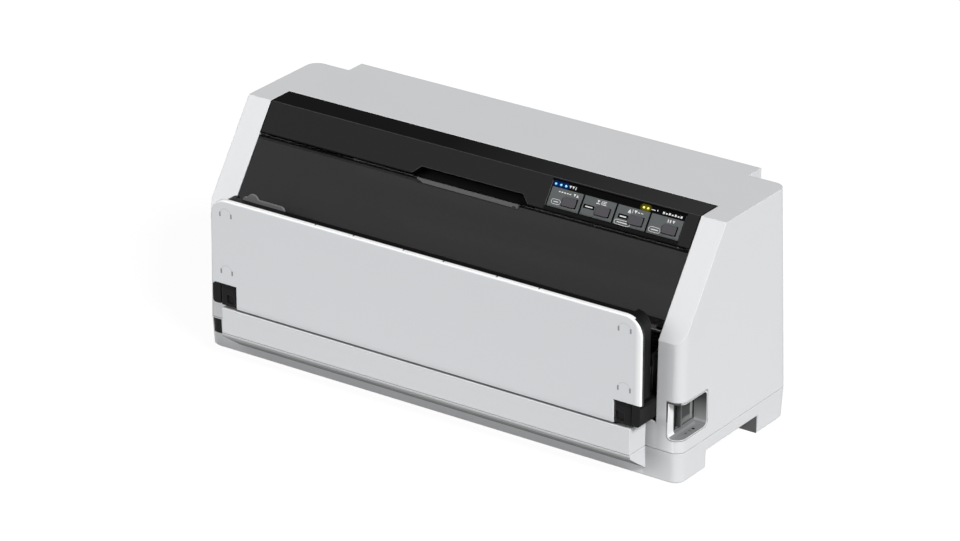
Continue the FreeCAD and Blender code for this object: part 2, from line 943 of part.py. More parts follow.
def tray_panel():
    x = tray_x
    panel = block((-x, x), (front_y, table_y), (tray_bottom, tray_top))
    panel = rounded(panel, tray_corner_radius,
                    lambda at, way: near(abs(way.y), 1) and near(at.z, tray_top))
    edges = [edge for edge in panel.Edges
             if near(edge.BoundBox.YMin, front_y) and near(edge.BoundBox.YMax, front_y)]
    panel = panel.makeFillet(tray_edge_radius, edges)
    notch = block((tray_notch_x, x + overrun), (front_y - overrun, table_y + overrun),
                  (tray_bottom - overrun, tray_notch_top))
    return panel.cut(both_sides(notch))


def table_form(inset, y):
    """Rounded outer form of the paper table behind the panel."""
    x = table_x - inset
    top = tray_top - table_top_inset - inset
    form = block((-x, x), y, (tray_notch_top + fit, top))
    return rounded(form, table_corner_radius - inset,
                   lambda at, way: abs(way.y) > abs(way.z) and near(at.z, top) and near(abs(at.x), x))


def tray_frame():
    """Paper table: hollow floor, rim, lower tongue and the two moulded hinge knuckles."""
    back = table_y + table_depth
    low = tray_notch_top + fit
    room_x = table_x - table_wall
    rim = table_form(0, (table_y, back))
    hollow = table_form(table_wall, (floor_y, back + overrun))
    core = block((-room_x, room_x), (table_y - fit, floor_y - table_wall),
                 (low + table_wall, tray_top - table_top_inset - table_corner_radius))
    open_foot = block((-room_x, room_x), (floor_y, back + overrun), (0, tray_notch_top + table_corner_radius))
    paper_x = table_x - table_corner_radius
    open_end = block((-paper_x, paper_x), (floor_y, back + overrun),
                     (tray_top - 2 * table_corner_radius, tray_top))
    groove = block((-room_x, room_x), (floor_y - guide_groove_depth, back),
                   (guide_groove_height, guide_groove_height + guide_groove_width))
    tongue_x = tray_notch_x - fit
    tongue = block((-tongue_x, tongue_x), (table_y, table_y + table_wall), (knuckle_bottom, low + table_wall))
    table = rim.cut([hollow, core, open_foot, open_end, groove])
    return joined([table, tongue] + both_sides(knuckle()))


def knuckle():
    """Moulded hinge block that turns with the tray."""
    inner = tray_notch_x + fit
    rear = front_y + knuckle_depth
    form = block((inner, knuckle_outer), (front_y, rear), (knuckle_bottom, tray_notch_top - fit))
    form = rounded(form, knuckle_corner, lambda at, way: upright(way) and near(at.y, front_y))
    riser = block((inner, knuckle_outer), (table_y, rear), (tray_notch_top - fit, tray_notch_top + 2 * fit))
    recess = block((inner + table_wall, inner + table_wall + knuckle_recess),
                   (front_y - fit, front_y + knuckle_recess_depth),
                   (knuckle_bottom + table_wall, knuckle_bottom + table_wall + knuckle_recess))
    bore = bore_x(hinge_pin_radius + running, (inner + table_wall, knuckle_outer + overrun),
                  hinge_y, hinge_height)
    return joined([form, riser]).cut([recess, bore])


def hinge_arm():
    """Fixed outer block of the tray hinge, with its steel pin."""
    inner = knuckle_outer + fit
    front = front_y + arm_front_gap
    form = block((inner, arm_outer), (front, front + arm_depth), (arm_bottom, arm_top))
    form = rounded(form, arm_corner, lambda at, way: abs(way.y) > abs(way.z) and near(at.x, arm_outer))
    pin = flat_x(shaft_sides, hinge_pin_radius, (tray_notch_x + 2 * table_wall, arm_outer - arm_corner),
                 hinge_y, hinge_height)
    return joined([form, pin])


def edge_guide(place, top):
    """Sliding sheet guide in the table's groove, as for the left side."""
    face_y = floor_y + fit
    plate = block((place, place + guide_plate_width), (face_y, face_y + guide_plate_thickness),
                  (guide_plate_bottom, top))
    plate = rounded(plate, guide_bump_rise, lambda at, way: abs(way.y) > abs(way.z) and near(at.z, top))
    fence = block((place, place + guide_fence_thickness), (face_y, face_y + guide_fence_height),
                  (guide_fence_bottom, top - 2 * guide_bump_rise))
    runner = block((place, place + guide_plate_width), (floor_y - guide_groove_depth + fit, face_y),
                   (guide_groove_height + fit, guide_groove_height + guide_groove_width - fit))
    return joined([plate, fence, runner])


def edge_guide_left():
    top = tray_top + guide_tab_rise
    guide = edge_guide(-guide_left_place, top)
    middle = -guide_left_place + guide_plate_width / 4
    y = floor_y + fit
    bump = rod_y(guide_bump_width / 2, middle, (y, y + guide_plate_thickness), top - guide_bump_rise / 2)
    return joined([guide, bump])


def edge_guide_right():
    return flipped(edge_guide(-guide_right_place, tray_top - table_top_inset - 2 * table_wall))


# Power switch

def rocker_span(gap):
    half = rocker_half_length + rocker_margin
    return (rocker_y - half - gap, rocker_y + half + gap)


def switch_bezel():
    outer = pocket_form(0).common(case_body(0, rounded))
    inside = pocket_form(-pocket_wall)
    window = block((pocket_left - fit, pocket_left + pocket_wall + fit), rocker_span(-fit),
                   (pocket_bottom + rocker_foot, pocket_top - rocker_margin))
    return outer.cut([inside, window])


def rocker_axis_x():
    return pocket_left - rocker_wing / 2


def power_rocker():
    """Tall rocker with a hollow face, resting on its off side."""
    axis = rocker_axis_x()
    front = pocket_left + rocker_wing
    half = rocker_half_length
    shoulder = half * rocker_back_share
    low = pocket_bottom + rocker_foot + fit
    high = pocket_top - rocker_margin - fit
    face = Part.Arc(Vector(front, rocker_y - half, low), Vector(pocket_left + rocker_valley, rocker_y, low),
                    Vector(front, rocker_y + half, low)).toShape()
    back = Part.makePolygon([Vector(front, rocker_y + half, low), Vector(axis, rocker_y + shoulder, low),
                             Vector(axis - rocker_back / 2, rocker_y, low),
                             Vector(axis, rocker_y - shoulder, low), Vector(front, rocker_y - half, low)])
    body = Part.Face(Part.Wire([face] + back.Edges)).extrude(Vector(0, 0, high - low))
    pins = flat_z(shaft_sides, rocker_pin_radius, axis, rocker_y,
                  (low - rocker_pin_length, high + rocker_pin_length))
    rocker = joined([body, pins])
    rocker.rotate(Vector(axis, rocker_y, 0), Vector(0, 0, 1), rocker_tilt_deg)
    return rocker


def switch_body():
    """Housing behind the rocker, open to the front and bored for its pins."""
    right = pocket_left - fit
    low = pocket_bottom + pocket_wall + fit
    high = pocket_top - pocket_wall - fit
    axis = rocker_axis_x()
    span = rocker_span(-fit)
    body = block((right - switch_depth, right), span, (low, high))
    room = block((axis - rocker_back, right + fit), (span[0] + switch_wall / 2, span[1] - switch_wall / 2),
                 (pocket_bottom + rocker_foot, pocket_top - rocker_margin))
    holes = bore_z(rocker_pin_radius + running, axis, rocker_y, (low - overrun, high + overrun))
    return body.cut([room, holes])


# Metal chassis

def shaft_holes():
    """Holes through both side frames for every shaft, rod and rail."""
    places = [(shaft_radius, front_roller_place, roller_z), (shaft_radius, rear_roller_place, roller_z),
              (pinch_shaft_radius, front_roller_place, pinch_z()),
              (pinch_shaft_radius, rear_roller_place, pinch_z()),
              (rod_radius, rod_place, rod_height), (tractor_end_radius, tractor_place, tractor_z),
              (rail_radius, rail_place, rail_height)]
    return [bore_x(radius + running, (-half_width, half_width), y, z) for radius, y, z in places]


def frame_plate():
    """Side frame, cut back to the lean of the rear wall."""
    lean = (rear_split_y - rear_top_y) * (frame_top - frame_bottom) / (case_height - split_height)
    outline = [(-frame_front, frame_bottom), (frame_rear, frame_bottom), (frame_rear - lean, frame_top),
               (stay_front, frame_top), (rail_front, frame_front_top), (-frame_front, frame_front_top)]
    plate = along_x(outline, (frame_place, frame_x))
    front = -frame_front + base_flange
    low = frame_bottom + base_flange
    window = block((0, half_width), (front, front + frame_window_width), (low, low + frame_window_height))
    return plate.cut([window] + shaft_holes())


def side_frame_right():
    return frame_plate()


def side_frame_left():
    """Gear side: it also carries the motor and the stub axle of the idler gear."""
    plate = flipped(frame_plate())
    motor_y, motor_z = pinion_centre()
    plate = plate.cut(bore_x(motor_shaft_radius + fit, (-half_width, 0), motor_y, motor_z))
    y, z = idler_centre()
    stub = flat_x(shaft_sides, idler_bore - running, (-gear_x - gear_width, -frame_place - sheet / 2), y, z)
    return joined([plate, stub])


def chassis_base():
    """Bottom plate with raised flanges and a window over the tall power parts."""
    x = frame_place - fit
    plate = block((-x, x), (-frame_front, frame_rear), (base_sheet_height, base_sheet_height + sheet))
    flange_z = (base_sheet_height, base_sheet_height + base_flange)
    flanges = [block((-x, x), span, flange_z)
               for span in ((-frame_front, -frame_front + sheet), (frame_rear - sheet, frame_rear))]
    window = block((supply_left, supply_right), (-supply_front, supply_rear), (0, case_height))
    reach = feed_motor_radius + fit
    motor_y = pinion_centre()[0]
    motor_room = block((-x - fit, -frame_place + feed_motor_length + fit), (motor_y - reach, motor_y + reach),
                       (0, case_height))
    return joined([plate] + flanges).cut([window, motor_room])


def front_rail():
    """Folded rail that keeps the carriage level."""
    x = frame_place - fit
    deck = block((-x, x), (rail_front, rail_rear), (front_rail_height, front_rail_height + sheet))
    lip = block((-x, x), (rail_front, rail_front + sheet), (front_rail_height, front_rail_height + sheet * 3))
    return joined([deck, lip])


def rear_stay():
    """Folded cross member over the belt, with the stub axle of the idler pulley."""
    x = frame_place - fit
    deck = block((-x, x), (stay_front, stay_rear), (stay_height, stay_height + sheet))
    lip = block((-x, x), (stay_rear - sheet, stay_rear), (stay_height - stay_flange, stay_height + sheet))
    stub = flat_z(shaft_sides, pulley_shaft_radius, -pulley_centre, belt_place,
                  (belt_bottom(), stay_height + sheet))
    hole = bore_z(pulley_shaft_radius + fit, pulley_centre, belt_place, (0, case_height))
    return joined([deck, lip, stub]).cut(hole)


def guide_rod():
    return rod_x(rod_radius, (-frame_x, frame_x), rod_place, rod_height)


# Gears

def pinch_z():
    return path_height + fit + pinch_radius


def pitch_radius(teeth):
    return teeth * gear_module / 2


def pinion_centre():
    """The motor pinion meshes with both roller gears, below their line."""
    middle = (front_roller_place + rear_roller_place) / 2
    reach = pitch_radius(roller_teeth) + pitch_radius(pinion_teeth)
    return (middle, roller_z - math.sqrt(reach ** 2 - (rear_roller_place - middle) ** 2))


def idler_centre():
    """Where the idler meets the rear roller gear and the tractor gear."""
    near_reach = pitch_radius(roller_teeth) + pitch_radius(idler_teeth)
    far_reach = pitch_radius(tractor_teeth) + pitch_radius(idler_teeth)
    gap_y = tractor_place - rear_roller_place
    gap_z = tractor_z - roller_z
    gap = math.hypot(gap_y, gap_z)
    along = (near_reach ** 2 - far_reach ** 2 + gap ** 2) / (2 * gap)
    aside = math.sqrt(near_reach ** 2 - along ** 2)
    return (rear_roller_place + (gap_y * along + gap_z * aside) / gap,
            roller_z + (gap_z * along - gap_y * aside) / gap)


def direction(start, end):
    return math.atan2(end[1] - start[1], end[0] - start[0])


def meshed_phase(phase, teeth, other_teeth, way):
    """Phase of a gear whose gap takes the tooth of its neighbour, in the given direction."""
    pitch = 2 * math.pi / teeth
    shift = ((phase - way) / pitch) % 1
    return way + math.pi - shift * 2 * math.pi / other_teeth + math.pi / other_teeth


def gear(centre, teeth, phase):
    """Spur gear on the left side, with its teeth as straight-flanked blocks."""
    radius = pitch_radius(teeth)
    tip = radius + tip_share * gear_module
    root = radius - root_share * gear_module
    width = tooth_width_share * math.pi * gear_module
    slant = gear_module * math.tan(math.radians(flank_deg))
    root_half = (width / 2 + root_share * slant) / root
    tip_half = (width / 2 - tip_share * slant) / tip
    points = []
    for index in range(teeth):
        middle = phase + 2 * math.pi * index / teeth
        for reach, turn in ((root, -root_half), (tip, -tip_half), (tip, tip_half), (root, root_half)):
            angle = middle + turn
            points.append((centre[0] + reach * math.cos(angle), centre[1] + reach * math.sin(angle)))
    return along_x(points, (-gear_x - gear_width, -gear_x))


def bored_gear(centre, teeth, phase, bore):
    return gear(centre, teeth, phase).cut(bore_x(bore, (-half_width, 0), centre[0], centre[1]))


def gear_phases():
    """Phases of the front, pinion, rear, idler and tractor gears, each in mesh with the next."""
    front = (front_roller_place, roller_z)
    rear = (rear_roller_place, roller_z)
    tractor = (tractor_place, tractor_z)
    way = direction(front, pinion_centre())
    phases = [way]
    chain = [(roller_teeth, pinion_teeth, way),
             (pinion_teeth, roller_teeth, direction(pinion_centre(), rear)),
             (roller_teeth, idler_teeth, direction(rear, idler_centre())),
             (idler_teeth, tractor_teeth, direction(idler_centre(), tractor))]
    for teeth, other_teeth, way in chain:
        phases.append(meshed_phase(phases[-1], teeth, other_teeth, way))
    return phases


# Feed rollers and motors

def sleeve_places():
    return [(index - (sleeve_count - 1) / 2) * sleeve_pitch for index in range(sleeve_count)]


def roller(y, z, radius, sides, shaft, left):
    """Steel shaft with its row of rubber sleeves, from a left end to the right frame."""
    parts = [flat_x(shaft_sides, shaft, (left, frame_x), y, z)]
    for x in sleeve_places():
        parts.append(flat_x(sides, radius, (x - sleeve_length / 2, x + sleeve_length / 2), y, z))
    return joined(parts)


def feed_roller(y):
    """Driven roller under the paper, with a longer left end for its gear."""
    return roller(y, roller_z, roller_radius, sleeve_sides, shaft_radius, -gear_x - gear_width)


def pinch_roller(y):
    return roller(y, pinch_z(), pinch_radius, pinch_sides, pinch_shaft_radius, -frame_x)


def feed_motor():
    """Motor can behind the left frame, bored for its shaft."""
    y, z = pinion_centre()
    can = flat_x(can_sides, feed_motor_radius, (-frame_place + fit, -frame_place + feed_motor_length), y, z)
    return can.cut(bore_x(motor_shaft_radius + running, (-half_width, motor_shaft_end() + fit), y, z))


def motor_shaft_end():
    return feed_motor_length / 2 - frame_place


def motor_pinion():
    y, z = pinion_centre()
    wheel = gear((y, z), pinion_teeth, gear_phases()[1])
    shaft = flat_x(shaft_sides, motor_shaft_radius, (-gear_x - gear_width, motor_shaft_end()), y, z)
    return joined([wheel, shaft])


def paper_guides():
    """Front and rear guide sheets with a window for every sleeve."""
    x = frame_place - fit
    top = path_height - path_sink
    front = block((-x, x), (-front_guide_front, platen_front - fit), (top - guide_sheet, top))
    apron = block((-x, x), (-front_guide_front, -front_guide_front + guide_sheet), (fascia_height + fit, top))
    rear = block((-x, x), (platen_front + platen_width + fit, rear_guide_rear), (top - guide_sheet, top))
    windows = []
    half = sleeve_length / 2 + sleeve_gap
    for y in (front_roller_place, rear_roller_place):
        for place in sleeve_places():
            windows.append(block((place - half, place + half), (y - roller_radius, y + roller_radius),
                                 (top - 2 * guide_sheet, top + fit)))
    return [joined([front, apron]).cut(windows[:sleeve_count]), rear.cut(windows[sleeve_count:])]


def platen():
    top = path_height - path_sink
    return block((-platen_x, platen_x), (platen_front, platen_front + platen_width),
                 (top - platen_height, top))


# Push tractor

def tractor_shaft():
    """Square drive shaft with round ends and its gear."""
    half = tractor_shaft_side / 2
    square_x = frame_place - fit
    square = block((-square_x, square_x), (tractor_place - half, tractor_place + half),
                   (tractor_z - half, tractor_z + half))
    ends = flat_x(shaft_sides, tractor_end_radius, (-gear_x - gear_width, frame_x), tractor_place, tractor_z)
    wheel = gear((tractor_place, tractor_z), tractor_teeth, gear_phases()[4])
    return joined([square, ends, wheel])


def tractor_rail():
    return rod_x(rail_radius, (-frame_x, frame_x), rail_place, rail_height)


def tractor_unit(place, side):
    """Sliding housing of one sprocket; side is -1 for the left unit and 1 for the right."""
    half = tractor_half_width
    top = path_height - path_sink
    body = block((place - half, place + half), (tractor_front, tractor_rear), (tractor_bottom, top))
    wheel_gap = sprocket_width / 2 + fit
    reach = sprocket_radius + pin_rise + 2 * fit
    slot = block((place - wheel_gap, place + wheel_gap), (tractor_place - reach, tractor_place + reach),
                 (tractor_bottom - fit, top + fit))
    ramp = along_x([(tractor_rear - base_flange, tractor_bottom), (tractor_rear + fit, tractor_bottom),
                    (tractor_rear + fit, tractor_bottom + base_flange)], (place - half, place + half))
    hub = bore_x(tractor_shaft_side / math.sqrt(2) + fit, (place - half, place + half),
                 tractor_place, tractor_z)
    rail = bore_x(rail_radius + running, (place - half, place + half), rail_place, rail_height)
    body = body.cut([slot, ramp, hub, rail])
    hinge_x, hinge_z = door_axis(place, side)
    ears = []
    for front in (tractor_front, tractor_rear - door_ear):
        ear = block((hinge_x - door_barrel_radius, hinge_x + door_barrel_radius), (front, front + door_ear),
                    (top - sheet, hinge_z + door_barrel_radius))
        ears.append(ear)
    pins = bore_y(door_pin_radius + running, hinge_x, (tractor_front, tractor_rear), hinge_z)
    return joined([body] + ears).cut(pins)


def door_axis(place, side):
    half = tractor_half_width
    return (place + side * (half - door_barrel_radius), path_height + door_gap + door_barrel_radius)


def tractor_door(place, side):
    """Lid over the sprocket pins, slotted for them and hinged on its outer side."""
    hinge_x, hinge_z = door_axis(place, side)
    front = tractor_front + door_ear + fit
    rear = tractor_rear - door_ear - fit
    low = path_height + door_gap
    inner = place - side * tractor_half_width
    lid = block((min(inner, hinge_x), max(inner, hinge_x)), (front, rear), (low, low + door_thickness))
    gap = pin_radius + 2 * fit
    slot = block((place - gap, place + gap),
                 (tractor_place - sprocket_radius, tractor_place + sprocket_radius),
                 (low - fit, low + door_thickness + fit))
    barrel = flat_y(shaft_sides, door_barrel_radius, hinge_x, (front, rear), hinge_z)
    pins = flat_y(shaft_sides, door_pin_radius, hinge_x, (tractor_front + fit, tractor_rear - fit), hinge_z)
    return joined([lid.cut(slot), barrel, pins])


def tractor_lever(place, side):
    """Lock lever round the rail, outside the housing."""
    inner = place + side * (tractor_half_width + fit)
    outer = inner + side * lever_width
    x = (min(inner, outer), max(inner, outer))
    ring = flat_x(sleeve_sides, rail_radius + lever_ring, x, rail_place, rail_height)
    handle = block(x, (rail_place - lever_thickness / 2, rail_place + lever_thickness / 2),
                   (rail_height + rail_radius, rail_height + lever_reach))
    return joined([ring, handle]).cut(bore_x(rail_radius + running, x, rail_place, rail_height))


def sprocket(place):
    """Pin wheel on the square shaft: its pins carry the punched edge of the paper."""
    half = sprocket_width / 2
    wheel = flat_x(wheel_sides, sprocket_radius, (place - half, place + half), tractor_place, tractor_z)
    pins = []
    for index in range(pin_count):
        angle = 2 * math.pi * index / pin_count + math.pi / 2
        way = Vector(0, math.cos(angle), math.sin(angle))
        base = Vector(place, tractor_place, tractor_z) + way * (sprocket_radius - pin_rise)
        pins.append(taper(flat_ring(pin_sides, pin_radius, base, way),
                          flat_ring(pin_sides, pin_radius / 2, base + way * 2 * pin_rise, way)))
    hole_half = tractor_shaft_side / 2 + running
    hole = block((place - half, place + half), (tractor_place - hole_half, tractor_place + hole_half),
                 (tractor_z - hole_half, tractor_z + hole_half))
    return joined([wheel] + pins).cut(hole)


# Carriage and print head

def carriage():
    """Sliding block on the rod and rail, open round the head, with the belt clamp."""
    left = carriage_home - carriage_half
    right = carriage_home + carriage_half
    body = block((left, right), (carriage_front, carriage_rear), (carriage_bottom, carriage_top))
    head_half = head_length / 2 + fit
    well = block((carriage_home - head_half, carriage_home + head_half),
                 (head_place - head_width / 2 - fit, head_place + head_width / 2 + fit),
                 (carriage_bottom - fit, carriage_top + fit))
    rod = bore_x(rod_radius + running, (left, right), rod_place, rod_height)
    shoe = block((carriage_home - shoe_length, carriage_home + shoe_length),
                 (rail_front - fit, carriage_front),
                 (front_rail_height - 4 * sheet, front_rail_height + 4 * sheet))
    rail_slot = block((left, right), (rail_front - sheet, rail_rear + fit),
                      (front_rail_height - fit, front_rail_height + 3 * sheet + fit))
    clamp_x = (carriage_home - clamp_half, carriage_home + clamp_half)
    neck = block(clamp_x, (clamp_front() - clamp_wall, carriage_rear), (carriage_bottom, belt_height))
    clamp = block(clamp_x, (clamp_front() - clamp_wall, clamp_back() + clamp_wall),
                  (belt_height - clamp_wall, belt_top()))
    belt_gap = block((left, right), (clamp_front(), clamp_back()), (belt_height - fit, belt_top() + fit))
    return joined([body, shoe, neck, clamp]).cut([well, rod, rail_slot, belt_gap])


def belt_top():
    return belt_height + belt_width


def belt_bottom():
    return belt_height - pulley_flange - fit


def clamp_front():
    return belt_place - pulley_radius - fit - belt_thickness - fit


def clamp_back():
    return belt_place - pulley_radius


def print_head():
    """Head with a narrow nose over the paper and a row of cooling fins."""
    x = (carriage_home - head_length / 2, carriage_home + head_length / 2)
    body = block(x, (head_place - head_width / 2, head_place + head_width / 2),
                 (carriage_bottom + sheet, head_top - fin_height))
    nose = block((carriage_home - nose_length / 2, carriage_home + nose_length / 2),
                 (head_place - nose_width / 2, head_place + nose_width / 2),
                 (path_height + nose_gap, carriage_bottom + 2 * sheet))
    parts = [body, nose]
    pitch = (head_length - fin_thickness) / (fin_count - 1)
    for index in range(fin_count):
        left = x[0] + index * pitch
        parts.append(block((left, left + fin_thickness),
                           (head_place - head_width / 2, head_place + head_width / 2),
                           (head_top - fin_height, head_top)))
    return joined(parts)


def pulley(place):
    """Belt pulley with two flanges."""
    low = belt_height - fit
    high = belt_top() + fit
    hub = flat_z(pulley_sides, pulley_radius, place, belt_place, (low, high))
    flanges = [flat_z(pulley_sides, pulley_radius + pulley_flange, place, belt_place, span)
               for span in ((low - pulley_flange, low), (high, high + pulley_flange))]
    return joined([hub] + flanges)


def drive_pulley():
    shaft = flat_z(shaft_sides, pulley_shaft_radius, pulley_centre, belt_place,
                   (belt_height, stay_height + sheet + carriage_motor_length / 2))
    return joined([pulley(pulley_centre), shaft])


def idler_pulley():
    return pulley(-pulley_centre).cut(bore_z(pulley_shaft_radius + running, -pulley_centre, belt_place,
                                             (0, case_height)))


def belt_form(radius):
    z = (belt_height, belt_top())
    ends = [flat_z(pulley_sides, radius, x, belt_place, z) for x in (-pulley_centre, pulley_centre)]
    run = block((-pulley_centre, pulley_centre), (belt_place - radius, belt_place + radius), z)
    return joined(ends + [run])


def timing_belt():
    inner = pulley_radius + fit
    return belt_form(inner + belt_thickness).cut(belt_form(inner))


def carriage_motor():
    low = stay_height + sheet + fit
    can = flat_z(can_sides, carriage_motor_radius, pulley_centre, belt_place,
                 (low, low + carriage_motor_length))
    bore = bore_z(pulley_shaft_radius + running, pulley_centre, belt_place,
                  (0, low + carriage_motor_length / 2))
    return can.cut(bore)


# Ribbon cartridge

def ribbon_cartridge():
    """Long ribbon box that hangs by its ears on the side frames, with two arms for the ribbon."""
    box = block((-cartridge_half, cartridge_half), (cartridge_front, cartridge_rear),
                (cartridge_bottom, cartridge_top))
    box = rounded(box, cartridge_corner, lambda at, way: upright(way) and near(at.y, cartridge_front))
    outline = [(cartridge_rear - case_wall, cartridge_bottom), (cartridge_rear - case_wall, arm_neck_top),
               (-arm_tip_place, arm_neck_top), (arm_tip_place, arm_tip_top),
               (arm_tip_place, arm_tip_bottom), (-arm_tip_place / 2, arm_tip_bottom),
               (front_roller_place, arm_tip_top + case_wall)]
    arm = along_x(outline, (arm_half - arm_width, arm_half))
    ear = block((cartridge_half - case_wall, frame_x + cartridge_ear_overlap),
                (knob_y() - cartridge_ear_depth / 2, knob_y() + cartridge_ear_depth / 2),
                (frame_front_top + fit, cartridge_top))
    hole = bore_z(knob_shaft_radius + running, knob_place, knob_y(),
                  (cartridge_top - knob_shaft_length - fit, cartridge_top + fit))
    return joined([box] + both_sides(arm) + both_sides(ear)).cut(hole)


def ribbon_band():
    """Inked ribbon stretched between the cartridge arms."""
    x = arm_half - arm_width - fit
    low = path_height + nose_gap - ribbon_gap - ribbon_thickness
    band = block((-x, x), (head_place - ribbon_width / 2, head_place + ribbon_width / 2),
                 (low, low + ribbon_thickness))
    return band


def knob_y():
    return (cartridge_front + cartridge_rear) / 2


def ribbon_knob():
    """Fluted knob that winds the ribbon tight."""
    low = cartridge_top + fit
    outline = []
    for index in range(2 * knob_flutes):
        angle = math.pi * index / knob_flutes
        reach = knob_radius - index % 2 * knob_flute_depth
        outline.append((knob_place + reach * math.cos(angle), knob_y() + reach * math.sin(angle)))
    knob = along_z(outline, (low, low + knob_height))
    shaft = flat_z(shaft_sides, knob_shaft_radius, knob_place, knob_y(),
                   (cartridge_top - knob_shaft_length, low + knob_height / 2))
    return joined([knob, shaft])


# Boards and sockets

def board_plate(left, right, front, rear):
    return block((left, right), (front, rear), (board_height, board_height + board_thickness))


def main_board():
    """Control board with its chips and connectors."""
    board = board_plate(-board_left, -board_right, -board_front, board_rear)
    top = board_height + board_thickness
    width = board_left - board_right
    depth = board_front + board_rear
    parts = [board]
    for x_share, y_share, length_share, width_share in chip_shares:
        x = -board_left + x_share * width
        y = -board_front + y_share * depth
        parts.append(block((x, x + length_share * width), (y, y + width_share * depth),
                           (top - running, top + chip_height)))
    return joined(parts)


def power_supply():
    """Power board with its transformer core and heat sink."""
    board = board_plate(supply_left, supply_right, -supply_front, supply_rear)
    top = board_height + board_thickness
    core_x = supply_left + core_size
    z = (top - running, top + core_height)
    core = block((core_x, core_x + core_size), (-core_size / 2, core_size / 2), z)
    sink_x = supply_right - core_size - heatsink_length
    sink = block((sink_x, sink_x + heatsink_length), (core_size / 2, core_size / 2 + heatsink_height), z)
    can = flat_z(pad_sides, supply_can_radius, sink_x + core_size / 2, -core_size / 4, z)
    return joined([board, core, sink, can])


def socket(place, width, bottom, height, depth, recess, wall):
    """Rear socket body with an open mouth."""
    lean = (rear_split_y - rear_top_y) / (case_height - split_height)
    mouth = rear_split_y - lean * (bottom - split_height)
    body = block((place - width / 2, place + width / 2), (mouth - depth, mouth), (bottom, bottom + height))
    hollow = block((place - width / 2 + wall, place + width / 2 - wall), (mouth - recess, mouth + overrun),
                   (bottom + wall, bottom + height - wall))
    return body.cut(hollow), mouth


def ac_inlet():
    """Mains inlet with three blades."""
    body, mouth = socket(inlet_place, inlet_width, inlet_bottom, inlet_height, inlet_depth,
                         socket_depth, socket_wall)
    middle = inlet_bottom + inlet_height / 2
    blades = []
    for x, z in ((-blade_rise, -blade_spread), (-blade_rise, blade_spread), (blade_rise, 0)):
        blades.append(block((inlet_place + x - blade_width / 2, inlet_place + x + blade_width / 2),
                            (mouth - socket_depth - running, mouth - socket_depth + blade_length),
                            (middle + z - blade_height / 2, middle + z + blade_height / 2)))
    return joined([body] + blades)


def data_ports():
    """Wide parallel socket in the middle and a small square one at the side."""
    wide, mouth = socket(0, port_width, port_bottom, port_height, port_depth, port_recess, port_wall)
    tongue = block((-port_width / 2 + 3 * port_wall, port_width / 2 - 3 * port_wall),
                   (mouth - port_recess - running, mouth - port_wall),
                   (port_bottom + port_height / 2 - port_wall, port_bottom + port_height / 2 + port_wall))
    small = socket(small_port_place, small_port_width, port_bottom, small_port_height, port_depth,
                   port_recess, port_wall)[0]
    return [joined([wide, tongue]), small]


# Writing the pieces

def pieces():
    phases = gear_phases()
    front = (front_roller_place, roller_z)
    rear = (rear_roller_place, roller_z)
    made = {
        "upper_case": upper_case(),
        "lower_case": lower_case(),
        "rubber_feet": rubber_feet(),
        "front_plug": front_plug(),
        "control_strip": control_strip(),
        "key_plate": key_plate(),
        "panel_board": panel_board(),
        "window_cover": window_cover(),
        "tray_panel": tray_panel(),
        "tray_frame": tray_frame(),
        "edge_guide_left": edge_guide_left(),
        "edge_guide_right": edge_guide_right(),
        "hinge_arms": both_sides(hinge_arm()),
        "switch_bezel": switch_bezel(),
        "switch_body": switch_body(),
        "power_rocker": power_rocker(),
        "side_frame_left": side_frame_left(),
        "side_frame_right": side_frame_right(),
        "chassis_base": chassis_base(),
        "front_rail": front_rail(),
        "rear_stay": rear_stay(),
        "guide_rod": guide_rod(),
        "front_feed_roller": feed_roller(front[0]),
        "rear_feed_roller": feed_roller(rear[0]),
        "front_roller_gear": bored_gear(front, roller_teeth, phases[0], shaft_radius + running),
        "rear_roller_gear": bored_gear(rear, roller_teeth, phases[2], shaft_radius + running),
        "front_pinch_roller": pinch_roller(front[0]),
        "rear_pinch_roller": pinch_roller(rear[0]),
        "idler_gear": bored_gear(idler_centre(), idler_teeth, phases[3], idler_bore),
        "feed_motor": feed_motor(),
        "motor_pinion": motor_pinion(),
        "platen": platen(),
        "paper_guides": paper_guides(),
        "tractor_shaft": tractor_shaft(),
        "tractor_rail": tractor_rail(),
        "carriage": carriage(),
        "print_head": print_head(),
        "drive_pulley": drive_pulley(),
        "idler_pulley": idler_pulley(),
        "timing_belt": timing_belt(),
        "carriage_motor": carriage_motor(),
        "ribbon_cartridge": ribbon_cartridge(),
        "ribbon_band": ribbon_band(),
        "ribbon_knob": ribbon_knob(),
        "main_board": main_board(),
        "power_supply": power_supply(),
        "ac_inlet": ac_inlet(),
        "data_ports": data_ports(),
    }
    for index, x in enumerate(key_places()):
        made["button_%d" % (index + 1)] = key_button(x)
    for name, place, side in (("left", tractor_left_place, -1), ("right", tractor_right_place, 1)):
        made["tractor_" + name] = tractor_unit(place, side)
        made["sprocket_" + name] = sprocket(place)
        made["tractor_door_" + name] = tractor_door(place, side)
        made["tractor_lever_" + name] = tractor_lever(place, side)
    return made


os.makedirs("parts", exist_ok=True)
for node, shape in pieces().items():
    if isinstance(shape, list):
        shape = Part.Compound(shape)
    shape.exportStep("parts/%s.step" % node)
